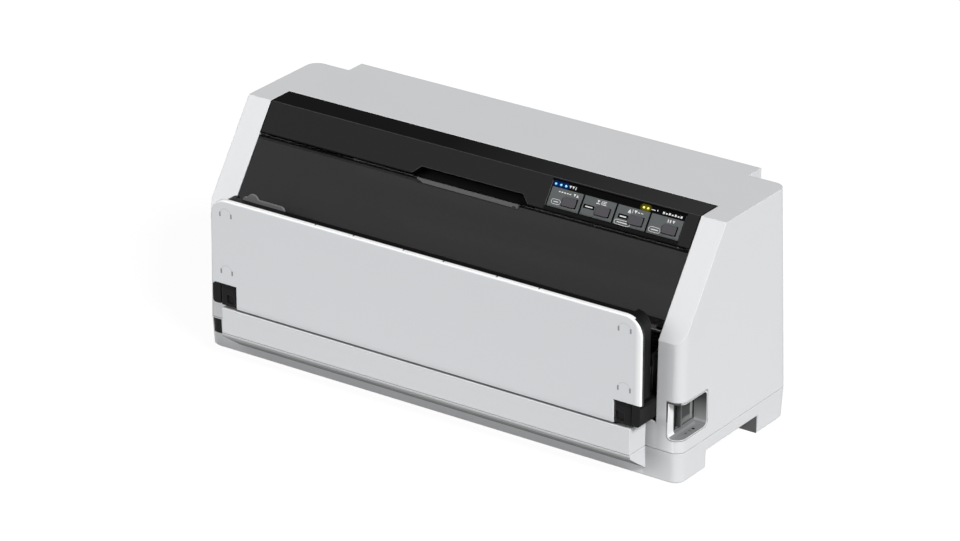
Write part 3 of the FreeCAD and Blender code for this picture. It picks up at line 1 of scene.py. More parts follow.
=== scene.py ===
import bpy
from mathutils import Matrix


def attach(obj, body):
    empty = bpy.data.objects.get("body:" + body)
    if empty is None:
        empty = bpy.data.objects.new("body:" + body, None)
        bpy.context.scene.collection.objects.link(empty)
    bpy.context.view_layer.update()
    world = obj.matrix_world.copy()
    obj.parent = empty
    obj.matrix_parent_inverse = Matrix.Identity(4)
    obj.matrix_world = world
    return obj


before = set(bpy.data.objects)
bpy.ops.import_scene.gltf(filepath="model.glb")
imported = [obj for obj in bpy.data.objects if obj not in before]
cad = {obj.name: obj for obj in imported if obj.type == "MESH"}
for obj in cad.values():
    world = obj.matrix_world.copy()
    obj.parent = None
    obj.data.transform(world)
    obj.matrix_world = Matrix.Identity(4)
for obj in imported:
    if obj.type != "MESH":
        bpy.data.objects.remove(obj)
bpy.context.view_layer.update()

import math

import bmesh
import bpy
from mathutils import Vector

scene = bpy.context.scene
scene.view_settings.view_transform = "Standard"


# Camera. It stands to the right of the printer and above it, a long way off,
# so the edges of the case stay almost parallel.
camera = bpy.data.objects.new("camera", bpy.data.cameras.new("camera"))
scene.collection.objects.link(camera)
camera.location = (2.1191, -3.0428, 1.7532)
camera.data.lens = 182.22
camera.data.sensor_width = 36.0
camera.data.clip_end = 30.0
look = Vector((-0.5236, 0.7486, -0.4067))
camera.rotation_euler = look.to_track_quat("-Z", "Y").to_euler()
scene.camera = camera


# Studio. A broad lamp stands to the right of the camera, a weaker panel lights
# the sloping front from the left, and the room is grey; behind the printer the
# camera sees white.
class Number:
    """A number in a node tree, which is written in sums as any other."""

    def __init__(self, tree, socket):
        self.tree = tree
        self.socket = socket

    def sum(self, operation, *terms):
        """What that operation of a Math node makes of the terms."""
        node = self.tree.nodes.new("ShaderNodeMath")
        node.operation = operation
        for socket, term in zip(node.inputs, terms):
            if isinstance(term, Number):
                self.tree.links.new(term.socket, socket)
            else:
                socket.default_value = term
        return Number(self.tree, node.outputs[0])

    def __add__(self, other):
        return self.sum("ADD", self, other)

    def __radd__(self, other):
        return self.sum("ADD", other, self)

    def __sub__(self, other):
        return self.sum("SUBTRACT", self, other)

    def __rsub__(self, other):
        return self.sum("SUBTRACT", other, self)

    def __mul__(self, other):
        return self.sum("MULTIPLY", self, other)

    def __rmul__(self, other):
        return self.sum("MULTIPLY", other, self)

    def __truediv__(self, other):
        return self.sum("DIVIDE", self, other)

    def __pow__(self, other):
        return self.sum("POWER", self, other)

    def __gt__(self, other):
        return self.sum("GREATER_THAN", self, other)

    def __lt__(self, other):
        return self.sum("LESS_THAN", self, other)

    def __abs__(self):
        return self.sum("ABSOLUTE", self)

    def greater(self, other):
        return self.sum("MAXIMUM", self, other)

    def lesser(self, other):
        return self.sum("MINIMUM", self, other)

    def span(self, start, end):
        """0 before the start, 1 after the end, and an even rise between them."""
        return ((self - start) / (end - start)).greater(0.0).lesser(1.0)


class Recipe:
    """A node tree that is put together a node at a time."""

    def __init__(self, tree):
        self.tree = tree

    def add(self, kind, settings=None, sockets=None):
        """A node of that type: its settings come first, then the values or links of its sockets."""
        node = self.tree.nodes.new(kind)
        for name, value in (settings or {}).items():
            setattr(node, name, value)
        for key, value in (sockets or {}).items():
            self.feed(node.inputs[key], value)
        return node

    def feed(self, socket, value):
        """Links the socket to a number or another socket, or gives it a plain value."""
        if isinstance(value, Number):
            value = value.socket
        if isinstance(value, bpy.types.NodeSocket):
            self.tree.links.new(value, socket)
        else:
            socket.default_value = value

    def number(self, socket):
        """The output socket as a number for sums."""
        return Number(self.tree, socket)


for name, energy, spread, direction in (("key_lamp", 3.33, 16, (0.713, -0.327, 0.668)),
                                        ("front_panel", 1.08, 40, (-0.52, -0.72, 0.47))):
    lamp = bpy.data.objects.new(name, bpy.data.lights.new(name, "SUN"))
    lamp.data.energy = energy
    lamp.data.angle = math.radians(spread)
    lamp.rotation_euler = Vector(direction).to_track_quat("Z", "Y").to_euler()
    scene.collection.objects.link(lamp)

room_strength = 0.08
world = bpy.data.worlds.new("room")
scene.world = world
world.use_nodes = True
world.node_tree.nodes.clear()
room = Recipe(world.node_tree)
path = room.add("ShaderNodeLightPath")
seen = room.number(path.outputs["Is Camera Ray"])
seen = seen.greater(room.number(path.outputs["Is Transmission Ray"]))
strength = seen * (1 - room_strength) + room_strength
background = room.add("ShaderNodeBackground", sockets={"Color": (1, 1, 1, 1), "Strength": strength})
room.add("ShaderNodeOutputWorld", sockets={"Surface": background.outputs[0]})

floor_half = 12.0
floor_mesh = bpy.data.meshes.new("floor")
floor_mesh.from_pydata([(-floor_half, -floor_half, 0), (floor_half, -floor_half, 0),
                        (floor_half, floor_half, 0), (-floor_half, floor_half, 0)], [], [(0, 1, 2, 3)])
floor = bpy.data.objects.new("floor", floor_mesh)
scene.collection.objects.link(floor)
floor_material = bpy.data.materials.new("floor")
floor_material.use_nodes = True
floor_material.node_tree.nodes.clear()
desk = Recipe(floor_material.node_tree)
path = desk.add("ShaderNodeLightPath")
seen = desk.number(path.outputs["Is Camera Ray"])
seen = seen.greater(desk.number(path.outputs["Is Glossy Ray"]))
seen = seen.greater(desk.number(path.outputs["Is Transmission Ray"]))
plain = desk.add("ShaderNodeBsdfDiffuse", sockets={"Color": (0.54, 0.54, 0.54, 1)})
shaded = desk.add("ShaderNodeBsdfDiffuse", sockets={"Color": (0.08, 0.08, 0.08, 1)})
glow = desk.add("ShaderNodeEmission", sockets={"Color": (1, 1, 1, 1), "Strength": 0.95})
bright = desk.add("ShaderNodeAddShader", sockets={0: shaded.outputs[0], 1: glow.outputs[0]})
surface = desk.add("ShaderNodeMixShader", sockets={0: seen, 1: plain.outputs[0], 2: bright.outputs[0]})
desk.add("ShaderNodeOutputMaterial", sockets={"Surface": surface.outputs[0]})
floor_mesh.materials.append(floor_material)


# Case mouldings. Both halves are light grey plastic, moulded with a fine spark
# texture; their edges are eased, with a highlight painted along them. Shade is
# painted under the chin, in the foot arches and beside the chin's right end, and
# light is painted on the pillars' fronts and on the band below the chin.
class Finish(Recipe):
    """The material of one kind of piece."""

    def __init__(self, name):
        self.material = bpy.data.materials.new(name)
        self.material.use_nodes = True
        super().__init__(self.material.node_tree)
        self.shader = self.tree.nodes["Principled BSDF"]
        self.place = self.add("ShaderNodeTexCoord").outputs["Object"]

    def set(self, **values):
        """Sets or links sockets of the shader, by their names in small letters."""
        for name, value in values.items():
            self.feed(self.shader.inputs[name.replace("_", " ").title().replace("Ior", "IOR")], value)

    def axes(self):
        """The three object coordinates as numbers, in metres."""
        split = self.add("ShaderNodeSeparateXYZ", sockets={0: self.place})
        return [self.number(output) for output in split.outputs]

    def noise(self, scale, detail=2.0, stretch=(1, 1, 1)):
        """Soft noise between 0 and 1, with that many lumps to the metre."""
        turned = self.add("ShaderNodeMapping", sockets={"Vector": self.place, "Scale": stretch})
        node = self.add("ShaderNodeTexNoise", sockets={
            "Vector": turned.outputs[0], "Scale": scale, "Detail": detail})
        return self.number(node.outputs["Fac"])

    def mixed(self, share, first, second):
        """A colour between two colours."""
        node = self.add("ShaderNodeMix", {"data_type": "RGBA"}, {"Factor": share})
        for key, colour in ((6, first), (7, second)):
            if isinstance(colour, tuple):
                colour = (*colour, 1)
            self.feed(node.inputs[key], colour)
        return node.outputs[2]

    def facing(self):
        """The three parts of the surface normal as numbers."""
        normal = self.add("ShaderNodeNewGeometry").outputs["Normal"]
        split = self.add("ShaderNodeSeparateXYZ", sockets={0: normal})
        return [self.number(output) for output in split.outputs]

    def tint(self, share, colour):
        """Paints over the base colour in part."""
        self.base = self.mixed(share, self.base, colour)
        self.set(base_color=self.base)

    def ease(self, radius):
        """Rounds the edges in the light, and returns the normal and how near an edge is."""
        rounded = self.add("ShaderNodeBevel", {"samples": 6}, {"Radius": radius})
        plain = self.add("ShaderNodeNewGeometry").outputs["Normal"]
        both = self.add("ShaderNodeVectorMath", {"operation": "DOT_PRODUCT"},
                        {0: rounded.outputs[0], 1: plain})
        edge = 1 - self.number(both.outputs["Value"])
        return rounded.outputs[0], (edge * 6).lesser(1.0)

    def bump(self, height, distance, normal=None):
        """The normal of a surface that rises with the height, by that many metres at most."""
        sockets = {"Height": height, "Distance": distance}
        if normal:
            sockets["Normal"] = normal
        return self.add("ShaderNodeBump", sockets=sockets).outputs[0]


def moulded(name, colour, edge_highlight_or_rubber, roughness, grain=1600.0, relief=0.00004, ease=0.0007, cloud=0.05, shine=0.5):
    """Moulded plastic: a fine grain, a faint cloudiness and a highlight painted along the edges in another
    colour.
    """
    finish = Finish(name)
    normal, edge = finish.ease(ease)
    soft = finish.noise(14.0, 3.0)
    fine = finish.noise(grain, 2.0)
    shade = (soft - 0.5) * cloud + (fine - 0.5) * cloud
    dim = tuple(part * (1 - cloud) for part in colour)
    plain = finish.mixed((shade * 8 + 0.5).lesser(1.0).greater(0.0), dim, colour)
    # Painted highlight: the edges are mixed towards the second colour.
    finish.base = finish.mixed(edge * 0.6, plain, edge_highlight_or_rubber)
    finish.set(base_color=finish.base, roughness=roughness + (soft - 0.5) * 0.12, specular_ior_level=shine,
               normal=finish.bump(fine, relief, normal))
    return finish


def dress(node, finish):
    """Gives a CAD node its material."""
    cad[node].data.materials.clear()
    cad[node].data.materials.append(finish.material)


grey_plastic = (0.70, 0.71, 0.725)
front_wall = -0.0755
chin_back = -0.09
chin_front = -0.098
chin_end = 0.204
pillar_inner = 0.208
corner_start = 0.2345
corner_back = -0.0705
case_grey = moulded("case_grey", grey_plastic, (0.97, 0.975, 0.98), 0.42, ease=0.0009)
across, along, up = case_grey.facing()
x, y, z = case_grey.axes()
# Painted light: the pillars' fronts are painted paler, where the tray keeps the panel lamp off them.
painted_light_on_pillars = (along < -0.8) * (abs(x) > pillar_inner) * (y < front_wall) * z.span(0.136, 0.128)
case_grey.tint(painted_light_on_pillars, (0.82, 0.83, 0.84))
# Painted shade on the front beside the chin's right end, darkest next to the chin.
shade_beside_chin = (along < -0.5) * (y > chin_back) * (y < corner_back) * (x > chin_end)
shade = shade_beside_chin * z.span(0.060, 0.054) * x.span(corner_start, 0.2190)
case_grey.tint(shade, (0.50, 0.505, 0.515))
case_grey.tint(shade * x.span(0.2150, 0.2065), (0.27, 0.273, 0.28))
dress("upper_case", case_grey)

base_grey = moulded("base_grey", grey_plastic, (0.80, 0.805, 0.81), 0.42)
x, y, z = base_grey.axes()
across, along, up = base_grey.facing()
# Painted shade under the chin.
shade_under_chin = (up < -0.2) * (y < front_wall - 0.0002) * z.span(0.0250, 0.0230)
base_grey.tint(shade_under_chin, (0.030, 0.031, 0.033))
# Painted light on the band below the chin.
light_below_chin = (along < -0.7) * (y > chin_back) * (y < front_wall) * (x < 0.2)
base_grey.tint(light_below_chin, (0.93, 0.94, 0.95))
split_line = (up > -0.2) * (y < chin_front) * z.span(0.0280, 0.0252)
base_grey.tint(split_line * 0.8, (0.10, 0.103, 0.106))
# Painted shade in the foot arches.
shade_in_foot_arch = (abs(x) < 0.2383) * (z < 0.0178) * (y > -0.0365) * (y < 0.0441)
base_grey.tint(shade_in_foot_arch, (0.11, 0.11, 0.112))
# Painted shade on the lower half beside the chin's right end.
shade_beside_chin = (along < -0.5) * (y > chin_back) * (y < corner_back) * (x > chin_end)
shade = shade_beside_chin * x.span(corner_start, 0.2065) * z.span(-0.006, 0.022)
base_grey.tint(shade * 0.8, (0.27, 0.273, 0.28))
dress("lower_case", base_grey)


# Feet and blanking plug. The feet are soft rubber pads pressed into round seats;
# the plug closes a hole in the front left corner of the lower half.
rubber = Finish("pad_rubber")
grit = rubber.noise(900.0, 3.0)
rubber.set(base_color=rubber.mixed(grit, (0.035, 0.035, 0.037), (0.07, 0.07, 0.072)), roughness=0.82,
           normal=rubber.bump(grit, 0.0001))
dress("rubber_feet", rubber)
black_plastic = (0.006, 0.006, 0.0065)
# Painted highlight: the paler colour that edges of black plastic are mixed towards.
black_edge_highlight = (0.05, 0.05, 0.051)
satin_black = moulded("satin_black", black_plastic, black_edge_highlight, 0.4, relief=0.00003, shine=0.14)
dress("front_plug", satin_black)


# Front tray. A pale lid lies over a black paper table, and both turn on steel
# pins between moulded blocks at the lower corners. Fine rings on the lid's face
# show where ejector sleeves met it; their relief is drawn as painted shade. Six
# short dark marks lie on its top edge. Highlights are painted on the lid's edges,
# and shade is painted along its lower edge and on the blocks' tops.
tray_grey = moulded("tray_grey", (0.70, 0.715, 0.735), (0.95, 0.955, 0.96), 0.40)
x, y, z = tray_grey.axes()
ring_x = 0.2005
ring_radius = 0.0058
aside = abs(x) - ring_x
face = y < -0.0988
for height in (0.0858, 0.138):
    away = (aside ** 2 + (z - height) ** 2) ** 0.5
    # Painted shade: a darker arc over each ring and dark ticks at its sides stand for the shade of its
    # relief.
    ring_shade = (abs(away - ring_radius) < 0.0004) * (z > height - 0.0022) * face
    tray_grey.tint(ring_shade * 0.4, (0.45, 0.455, 0.46))
    tick = (abs(abs(aside) - ring_radius) < 0.0008) * (abs(z - height) < 0.0021) * face
    tray_grey.tint(tick * 0.75, (0.12, 0.12, 0.12))
across, along, up = tray_grey.facing()
# Painted highlight: the lid's sides, top and bottom are painted paler.
tray_edge_highlight = (0.90, 0.905, 0.91)
tray_grey.tint((along > -0.9) * (along < 0.9), tray_edge_highlight)
# Six short dark marks across the lid's top edge.
for place in (-0.1083, -0.0692, -0.0183, 0.0219, 0.0746, 0.1162):
    edge_mark = (abs(x - place) < 0.0007) * (z > 0.15) * (y > -0.0972)
    tray_grey.tint(edge_mark, (0.05, 0.05, 0.052))
# Painted shade towards the lid's lower edge, and a near-black painted shade on the edge itself.
lower_shade = z.span(0.0580, 0.0540)
tray_grey.tint(lower_shade * 0.2, (0.3, 0.305, 0.31))
shade_on_lower_edge = z.span(0.0541, 0.0534)
tray_grey.tint(shade_on_lower_edge, (0.012, 0.012, 0.0125))
# Painted highlight where the lid's face turns round its right end.
highlight_on_rounded_end = (along < -0.9) * x.span(0.2105, 0.2140)
tray_grey.tint(highlight_on_rounded_end, tray_edge_highlight)
end_groove = (abs(across) > 0.5) * (y > -0.0974) * (abs(x) > 0.205)
tray_grey.tint(end_groove, black_plastic)
dress("tray_panel", tray_grey)
table_black = moulded("table_black", black_plastic, black_edge_highlight, 0.4, relief=0.00003, shine=0.14)
x, y, z = table_black.axes()
# Painted shade on the tops of the hinge blocks, under the lid.
shade_on_block_top = (y < -0.09) * z.span(0.0700, 0.0712) * z.span(0.0762, 0.0758)
table_black.tint(shade_on_block_top, (0.001, 0.001, 0.001))
dress("tray_frame", table_black)
dress("hinge_arms", satin_black)
guide_grey = moulded("guide_grey", (0.16, 0.162, 0.165), (0.3, 0.3, 0.3), 0.45)
dress("edge_guide_left", guide_grey)
dress("edge_guide_right", guide_grey)


# Marks on the tray. Three small nibs lie on the lid's top edge, where the plastic
# was fed in, and a printed scale of ticks runs across the paper table behind it.
def settle(piece):
    """Turns what the modifiers of a piece make into its own plain mesh."""
    bpy.context.view_layer.update()
    graph = bpy.context.evaluated_depsgraph_get()
    mesh = bpy.data.meshes.new_from_object(piece.evaluated_get(graph))
    piece.modifiers.clear()
    piece.data = mesh
    return piece


def shape_of(name, points, faces, material=None):
    """A plain mesh object, linked to the scene."""
    mesh = bpy.data.meshes.new(name)
    mesh.from_pydata([tuple(point) for point in points], [], faces)
    if material:
        mesh.materials.append(material)
    piece = bpy.data.objects.new(name, mesh)
    scene.collection.objects.link(piece)
    return piece


def eased_box(name, low, high, ease=0.0):
    """A box between two corners, with its edges bevelled."""
    points = [(x, y, z) for x in (low[0], high[0]) for y in (low[1], high[1]) for z in (low[2], high[2])]
    faces = [(0, 1, 3, 2), (4, 6, 7, 5), (0, 4, 5, 1), (2, 3, 7, 6), (0, 2, 6, 4), (1, 5, 7, 3)]
    piece = shape_of(name, points, faces)
    if ease:
        bevel = piece.modifiers.new("ease", "BEVEL")
        bevel.width = ease
        bevel.segments = 2
        settle(piece)
    return piece


def turned(name, profile, middle, axis, sides):
    """A closed body turned about an axis: the profile is pairs of distance along the axis and radius."""
    way = Vector(axis).normalized()
    side = way.orthogonal().normalized()
    up = way.cross(side)
    points = []
    faces = []
    for reach, radius in profile:
        for index in range(sides):
            angle = 2 * math.pi * index / sides
            out = side * math.cos(angle) + up * math.sin(angle)
            points.append(Vector(middle) + way * reach + out * radius)
    rows = len(profile)
    for row in range(rows - 1):
        near, far = row * sides, (row + 1) * sides
        for index in range(sides):
            after = (index + 1) % sides
            faces.append((near + index, near + after, far + after, far + index))
    faces.append(tuple(reversed(range(sides))))
    faces.append(tuple(range((rows - 1) * sides, rows * sides)))
    return shape_of(name, points, faces)


def repeated(name, places, shape, material, growth=1.0):
    """Copies of a small shape at a list of places, grown by a node tree with a Size input."""
    piece = shape_of(name, places, [])
    tree = bpy.data.node_groups.new(name, "GeometryNodeTree")
    tree.interface.new_socket("Geometry", in_out="INPUT", socket_type="NodeSocketGeometry")
    grown = tree.interface.new_socket("Size", in_out="INPUT", socket_type="NodeSocketFloat")
    tree.interface.new_socket("Geometry", in_out="OUTPUT", socket_type="NodeSocketGeometry")
    recipe = Recipe(tree)
    start = recipe.add("NodeGroupInput")
    model = recipe.add("GeometryNodeObjectInfo", sockets={"Object": shape})
    spread = recipe.add("GeometryNodeInstanceOnPoints", sockets={
        "Points": start.outputs["Geometry"], "Instance": model.outputs["Geometry"],
        "Scale": start.outputs["Size"]})
    whole = recipe.add("GeometryNodeRealizeInstances", sockets={0: spread.outputs[0]})
    coat = recipe.add("GeometryNodeSetMaterial", sockets={"Geometry": whole.outputs[0], "Material": material})
    recipe.add("NodeGroupOutput", sockets={0: coat.outputs[0]})
    grow = piece.modifiers.new("grow", "NODES")
    grow.node_group = tree
    grow[grown.identifier] = growth
    settle(piece)
    bpy.data.objects.remove(shape)
    return piece


def held(piece, body):
    """Fixes a finished piece to its body."""
    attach(piece, body)


nib = eased_box("nib", (-0.0008, -0.0014, -0.0002), (0.0008, 0.0014, 0.00022), 0.0002)
places = [(x, -0.0970, 0.1510) for x in (-0.118, -0.072, -0.013)]
held(repeated("tray_nibs", places, nib, tray_grey.material), "tray")
pale_mark = moulded("pale_mark", (0.32, 0.325, 0.33), (0.4, 0.4, 0.4), 0.6, ease=0.0001)
tick = eased_box("tick", (-0.0003, 0, -0.002), (0.0003, 0.00005, 0.002))
tick_pitch = 0.01
places = [(step * tick_pitch, -0.0845, 0.090) for step in range(-13, 14)]
held(repeated("table_ticks", places, tick, pale_mark.material), "tray")


# Control strip. Black plastic bent over the ridge, with a recessed key plate at its
# right. Its top is painted darker than its front, as painted shade with a painted
# sheen towards the right, and painted shade lies in the recess and below its end.
ridge = (-0.0128, 0.21)
fall = (-0.57631, -0.81723)
strip_end = 0.0278
strip_black = moulded("strip_black", (0.0205, 0.0205, 0.0207), (0.2, 0.2, 0.201), 0.5,
                      ease=0.0009, shine=0.03)
x, y, z = strip_black.axes()
across, along, up = strip_black.facing()
# Painted shade: the top is painted darker than the front, with a painted sheen lighter towards the right.
level = (y > -0.0121) * (up > 0.9)
strip_black.tint(level, (0.0085, 0.0086, 0.0085))
strip_black.tint(level * x.span(-0.04, 0.2), (0.034, 0.034, 0.035))
seam = ((abs(x) > 0.2153) + (y > 0.0117)).lesser(1.0)
strip_black.tint(seam, (0.002, 0.002, 0.002))
drop = (z - ridge[1]) * fall[1] + (y - ridge[0]) * fall[0]
depth = (z - ridge[1]) * fall[0] - (y - ridge[0]) * fall[1]
# Painted shade in the recess and below the strip's end.
shade_in_recess = (depth > 0.0007) * (drop > 0.002) + (drop > strip_end)
strip_black.tint(shade_in_recess, (0.003, 0.003, 0.003))
beside_plate = (x > 0.0735) * (x < 0.2042)
below_plate = (drop < strip_end) * (drop > 0.0246)
strip_black.tint(beside_plate * below_plate, (0.007, 0.007, 0.007))
above_plate = (drop < 0.0030) * (drop > 0.0010)
strip_black.tint(beside_plate * above_plate, (0.001, 0.001, 0.001))
dress("control_strip", strip_black)


# Key plate. It lies in a recess of the strip: a black lamp band runs along its
# top edge and a grey raised field surrounds each of the four keys. The keys are
# moulded caps that press switches on a green circuit board.
plate_left = 0.0743
plate_width = 0.1291
key_pitch = plate_width / 4
key_xs = [plate_left + (index + 0.669) * key_pitch for index in range(4)]
lamp_xs = [plate_left + share * plate_width for share in (0.0232, 0.062, 0.0999, 0.6863, 0.7173)]
lamp_drop = 0.0052


def on_slope(x, drop, rise=0.0):
    """A point on the sloping front: so far below the ridge, and so far above the surface."""
    return Vector((x, ridge[0] + fall[0] * drop + fall[1] * rise, ridge[1] + fall[1] * drop - fall[0] * rise))


plate = Finish("key_plate_print")
normal, edge = plate.ease(0.0003)
x, y, z = plate.axes()
drop = (y - ridge[0]) * fall[0] + (z - ridge[1]) * fall[1]
field = (x - plate_left) / key_pitch
line = abs(field.sum("FRACT", field + 0.5) - 0.5) * key_pitch
printed = (drop > 0.0078) * (line > 0.0008) * (drop < 0.0243)
lamp_glow = 0.0038
lamp_core = 0.0012
speck = plate.noise(1500.0)
grey = plate.mixed(speck, (0.098, 0.105, 0.106), (0.116, 0.124, 0.125))
black = plate.mixed(speck, (0.001, 0.001, 0.0011), (0.003, 0.003, 0.0032))
# Painted light: the blue and yellow light of the lamps is painted on the band round each lamp.
glows = []
for place in lamp_xs:
    away = ((x - place) ** 2 + (drop - lamp_drop) ** 2) ** 0.5
    glows.append(away.span(lamp_glow, lamp_core))
blue = (glows[0] + glows[1] + glows[2]).lesser(1.0)
yellow = (glows[3] + glows[4]).lesser(1.0)
base = plate.mixed(printed, black, grey)
base = plate.mixed(blue * (1 - printed), base, (0.0, 0.02, 0.11))
base = plate.mixed(yellow * (1 - printed), base, (0.12, 0.11, 0.0))
plate.set(base_color=base, roughness=0.45, specular_ior_level=0.02, normal=plate.bump(speck, 0.00002, normal))
dress("key_plate", plate)
key_grey = moulded("key_grey", (0.080, 0.077, 0.084), (0.17, 0.17, 0.17), 0.45, ease=0.0005, shine=0.05)
across, along, up = key_grey.facing()
# Painted shade: the keys' flanks are painted black.
shade_on_key_flank = along * fall[1] - up * fall[0] < 0.8
key_grey.tint(shade_on_key_flank, (0.002, 0.002, 0.002))
for index in range(4):
    dress("button_%d" % (index + 1), key_grey)
board_green = moulded("board_green", (0.012, 0.09, 0.035), (0.05, 0.16, 0.08), 0.4)
dress("panel_board", board_green)


# Lamps. Clear domes on the lamps of the board: three shine blue and two yellow
# through round windows in the lamp band.
def lamp_finish(name, core, rim):
    """A lit lamp: palest in the middle, where the light comes straight out."""
    finish = Finish(name)
    facing = finish.number(finish.add("ShaderNodeLayerWeight", sockets={"Blend": 0.4}).outputs["Facing"])
    cloud = finish.noise(900.0)
    finish.set(base_color=finish.mixed(cloud, core, rim), roughness=0.2,
               emission_color=finish.mixed(facing + cloud * 0.2, core, rim), emission_strength=0.5)
    return finish.material


dome = [(-0.0006, 0.0011), (0.0, 0.0011), (0.0004, 0.00095), (0.0007, 0.0006), (0.00082, 0.0002)]
out = (0, fall[1], -fall[0])
for name, places, core, rim in (("blue_lamps", lamp_xs[:3], (0.35, 0.85, 1.0), (0.0, 0.22, 0.8)),
                                ("yellow_lamps", lamp_xs[3:], (0.95, 0.9, 0.2), (0.5, 0.45, 0.0))):
    lens = turned("lens", dome, (0, 0, 0), out, 14)
    seats = [on_slope(x, lamp_drop, -0.0007) for x in places]
    held(repeated(name, seats, lens, lamp_finish(name, core, rim)), "case")


# Printed signs. Pale symbols and outlines beside each key, screen-printed on the
# fields; two dark boxes mark the second functions.
def bar(x, drop, wide, tall):
    """Outline of a bar, round its middle."""
    return [(x - wide / 2, drop - tall / 2), (x + wide / 2, drop - tall / 2),
            (x + wide / 2, drop + tall / 2), (x - wide / 2, drop + tall / 2)]


def arrow(x, drop, half, way):
    """Outline of a solid triangle that points down the slope, or up it with a way of -1."""
    return [(x - half, drop - half * way), (x + half, drop - half * way), (x, drop + half * way)]


def pill_beads(x, drop, wide, tall, stroke=0.00035, steps=7):
    """Outline of a pill as a chain of short bars."""
    ends = []
    radius = tall / 2
    for side, start in ((1, -math.pi / 2), (-1, math.pi / 2)):
        for step in range(steps):
            angle = start + math.pi * step / (steps - 1)
            ends.append((x + side * (wide / 2 - radius) + radius * math.cos(angle),
                         drop + radius * math.sin(angle)))
    chains = []
    for index, (ax, ad) in enumerate(ends):
        bx, bd = ends[(index + 1) % len(ends)]
        length = math.hypot(bx - ax, bd - ad)
        nx, nd = (ad - bd) / length * stroke / 2, (bx - ax) / length * stroke / 2
        chains.append([(ax - nx, ad - nd), (bx - nx, bd - nd), (bx + nx, bd + nd), (ax + nx, ad + nd)])
    return chains


def printed_patches(name, outlines, place, material, thick=0.00003):
    """Thin patches of ink, from outlines whose corners place() sets on the surface and lifts off it."""
    points = []
    faces = []
    for outline in outlines:
        count = len(outline)
        low = len(points)
        top = low + count
        points += [place(*corner, lift) for lift in (0, thick) for corner in outline]
        faces += [tuple(low + i for i in reversed(range(count))), tuple(top + i for i in range(count))]
        faces += [(low + i, low + (i + 1) % count, top + (i + 1) % count, top + i) for i in range(count)]
    piece = shape_of(name, points, faces, material)
    mesh = bmesh.new()
    mesh.from_mesh(piece.data)
    bmesh.ops.recalc_face_normals(mesh, faces=mesh.faces)
    mesh.to_mesh(piece.data)
    mesh.free()
    held(piece, "case")


def at_rise(rise):
    """Puts a corner on the sloping front, that far above its surface."""
    return lambda x, drop, lift: on_slope(x, drop, rise + lift)


ink = Finish("pale_ink")
worn = ink.noise(2500.0, 3.0)
ink.set(base_color=ink.mixed(worn, (0.5, 0.5, 0.5), (0.85, 0.85, 0.85)), roughness=0.6)
dark_ink = Finish("dark_ink")
worn = dark_ink.noise(2500.0, 3.0)
dark_ink.set(base_color=dark_ink.mixed(worn, (0.001, 0.001, 0.001), (0.003, 0.003, 0.003)), roughness=0.6,
             specular_ior_level=0.02)
signs = []
label = 0.0108
for index, x in enumerate(key_xs):
    if index == 0:
        signs += [bar(x - 0.0125 + 0.0026 * step, label, 0.0017, 0.0009) for step in range(5)]
        signs += [arrow(x + 0.0022, label, 0.0012, 1), arrow(x + 0.0050, label, 0.0012, -1)]
        signs += pill_beads(x - 0.0130, 0.0197, 0.0088, 0.0040)
        signs.append(bar(x - 0.0130, 0.0197, 0.0046, 0.0006))
    elif index == 1:
        signs += [bar(x - 0.0068, label + 0.0013, 0.0038, 0.0006),
                  arrow(x - 0.0068, label - 0.0004, 0.0012, 1),
                  bar(x - 0.0034, label, 0.0006, 0.0026), bar(x - 0.0008, label + 0.0013, 0.0038, 0.0006),
                  bar(x - 0.0008, label - 0.0013, 0.0038, 0.0006), bar(x - 0.0008, label, 0.0026, 0.0006)]
    elif index == 2:
        signs += [arrow(x - 0.0086, label, 0.0014, -1), bar(x - 0.0086, label + 0.0019, 0.0030, 0.0005),
                  bar(x - 0.0058, label, 0.0005, 0.0030), arrow(x - 0.0030, label, 0.0014, 1),
                  bar(x + 0.0000, label, 0.0022, 0.0007), bar(x + 0.0030, label, 0.0022, 0.0007)]
        signs += pill_beads(x - 0.0120, 0.0222, 0.0150, 0.0038)
        signs.append(bar(x - 0.0120, 0.0222, 0.0100, 0.0007))
    else:
        signs += [bar(x - 0.0040, label, 0.0010, 0.0026), bar(x - 0.0018, label, 0.0010, 0.0026),
                  arrow(x + 0.0012, label, 0.0012, 1)]
        signs += pill_beads(x - 0.0136, 0.0207, 0.0110, 0.0042)
        signs.append(bar(x - 0.0136, 0.0207, 0.0070, 0.0007))
field_face = -0.00032
printed_patches("field_signs", signs, at_rise(field_face), ink.material)
boxes = [bar(key_xs[1] - 0.0140, 0.0168, 0.0106, 0.0034), bar(key_xs[2] - 0.0130, 0.0170, 0.0094, 0.0038)]
printed_patches("field_boxes", boxes, at_rise(field_face), dark_ink.material)
dashes = [bar(key_xs[1] - 0.0140, 0.0168, 0.0070, 0.0009), bar(key_xs[2] - 0.0130, 0.0170, 0.0060, 0.0010)]
printed_patches("box_signs", dashes, at_rise(field_face + 0.00004), ink.material)
band = [arrow(0.0915, 0.0050, 0.0012, 1), arrow(0.0943, 0.0050, 0.0012, 1),
        bar(0.0968, 0.0050, 0.0008, 0.0024), bar(0.1722, 0.0052, 0.0040, 0.0006),
        arrow(0.1762, 0.0052, 0.0007, 1)]
for step in range(7):
    small = step % 2
    band.append(bar(0.1822 + 0.0028 * step, 0.0052 + 0.0003 * small, 0.0018, 0.0018 - 0.0007 * small))
printed_patches("band_signs", band, at_rise(-0.00072), ink.material)


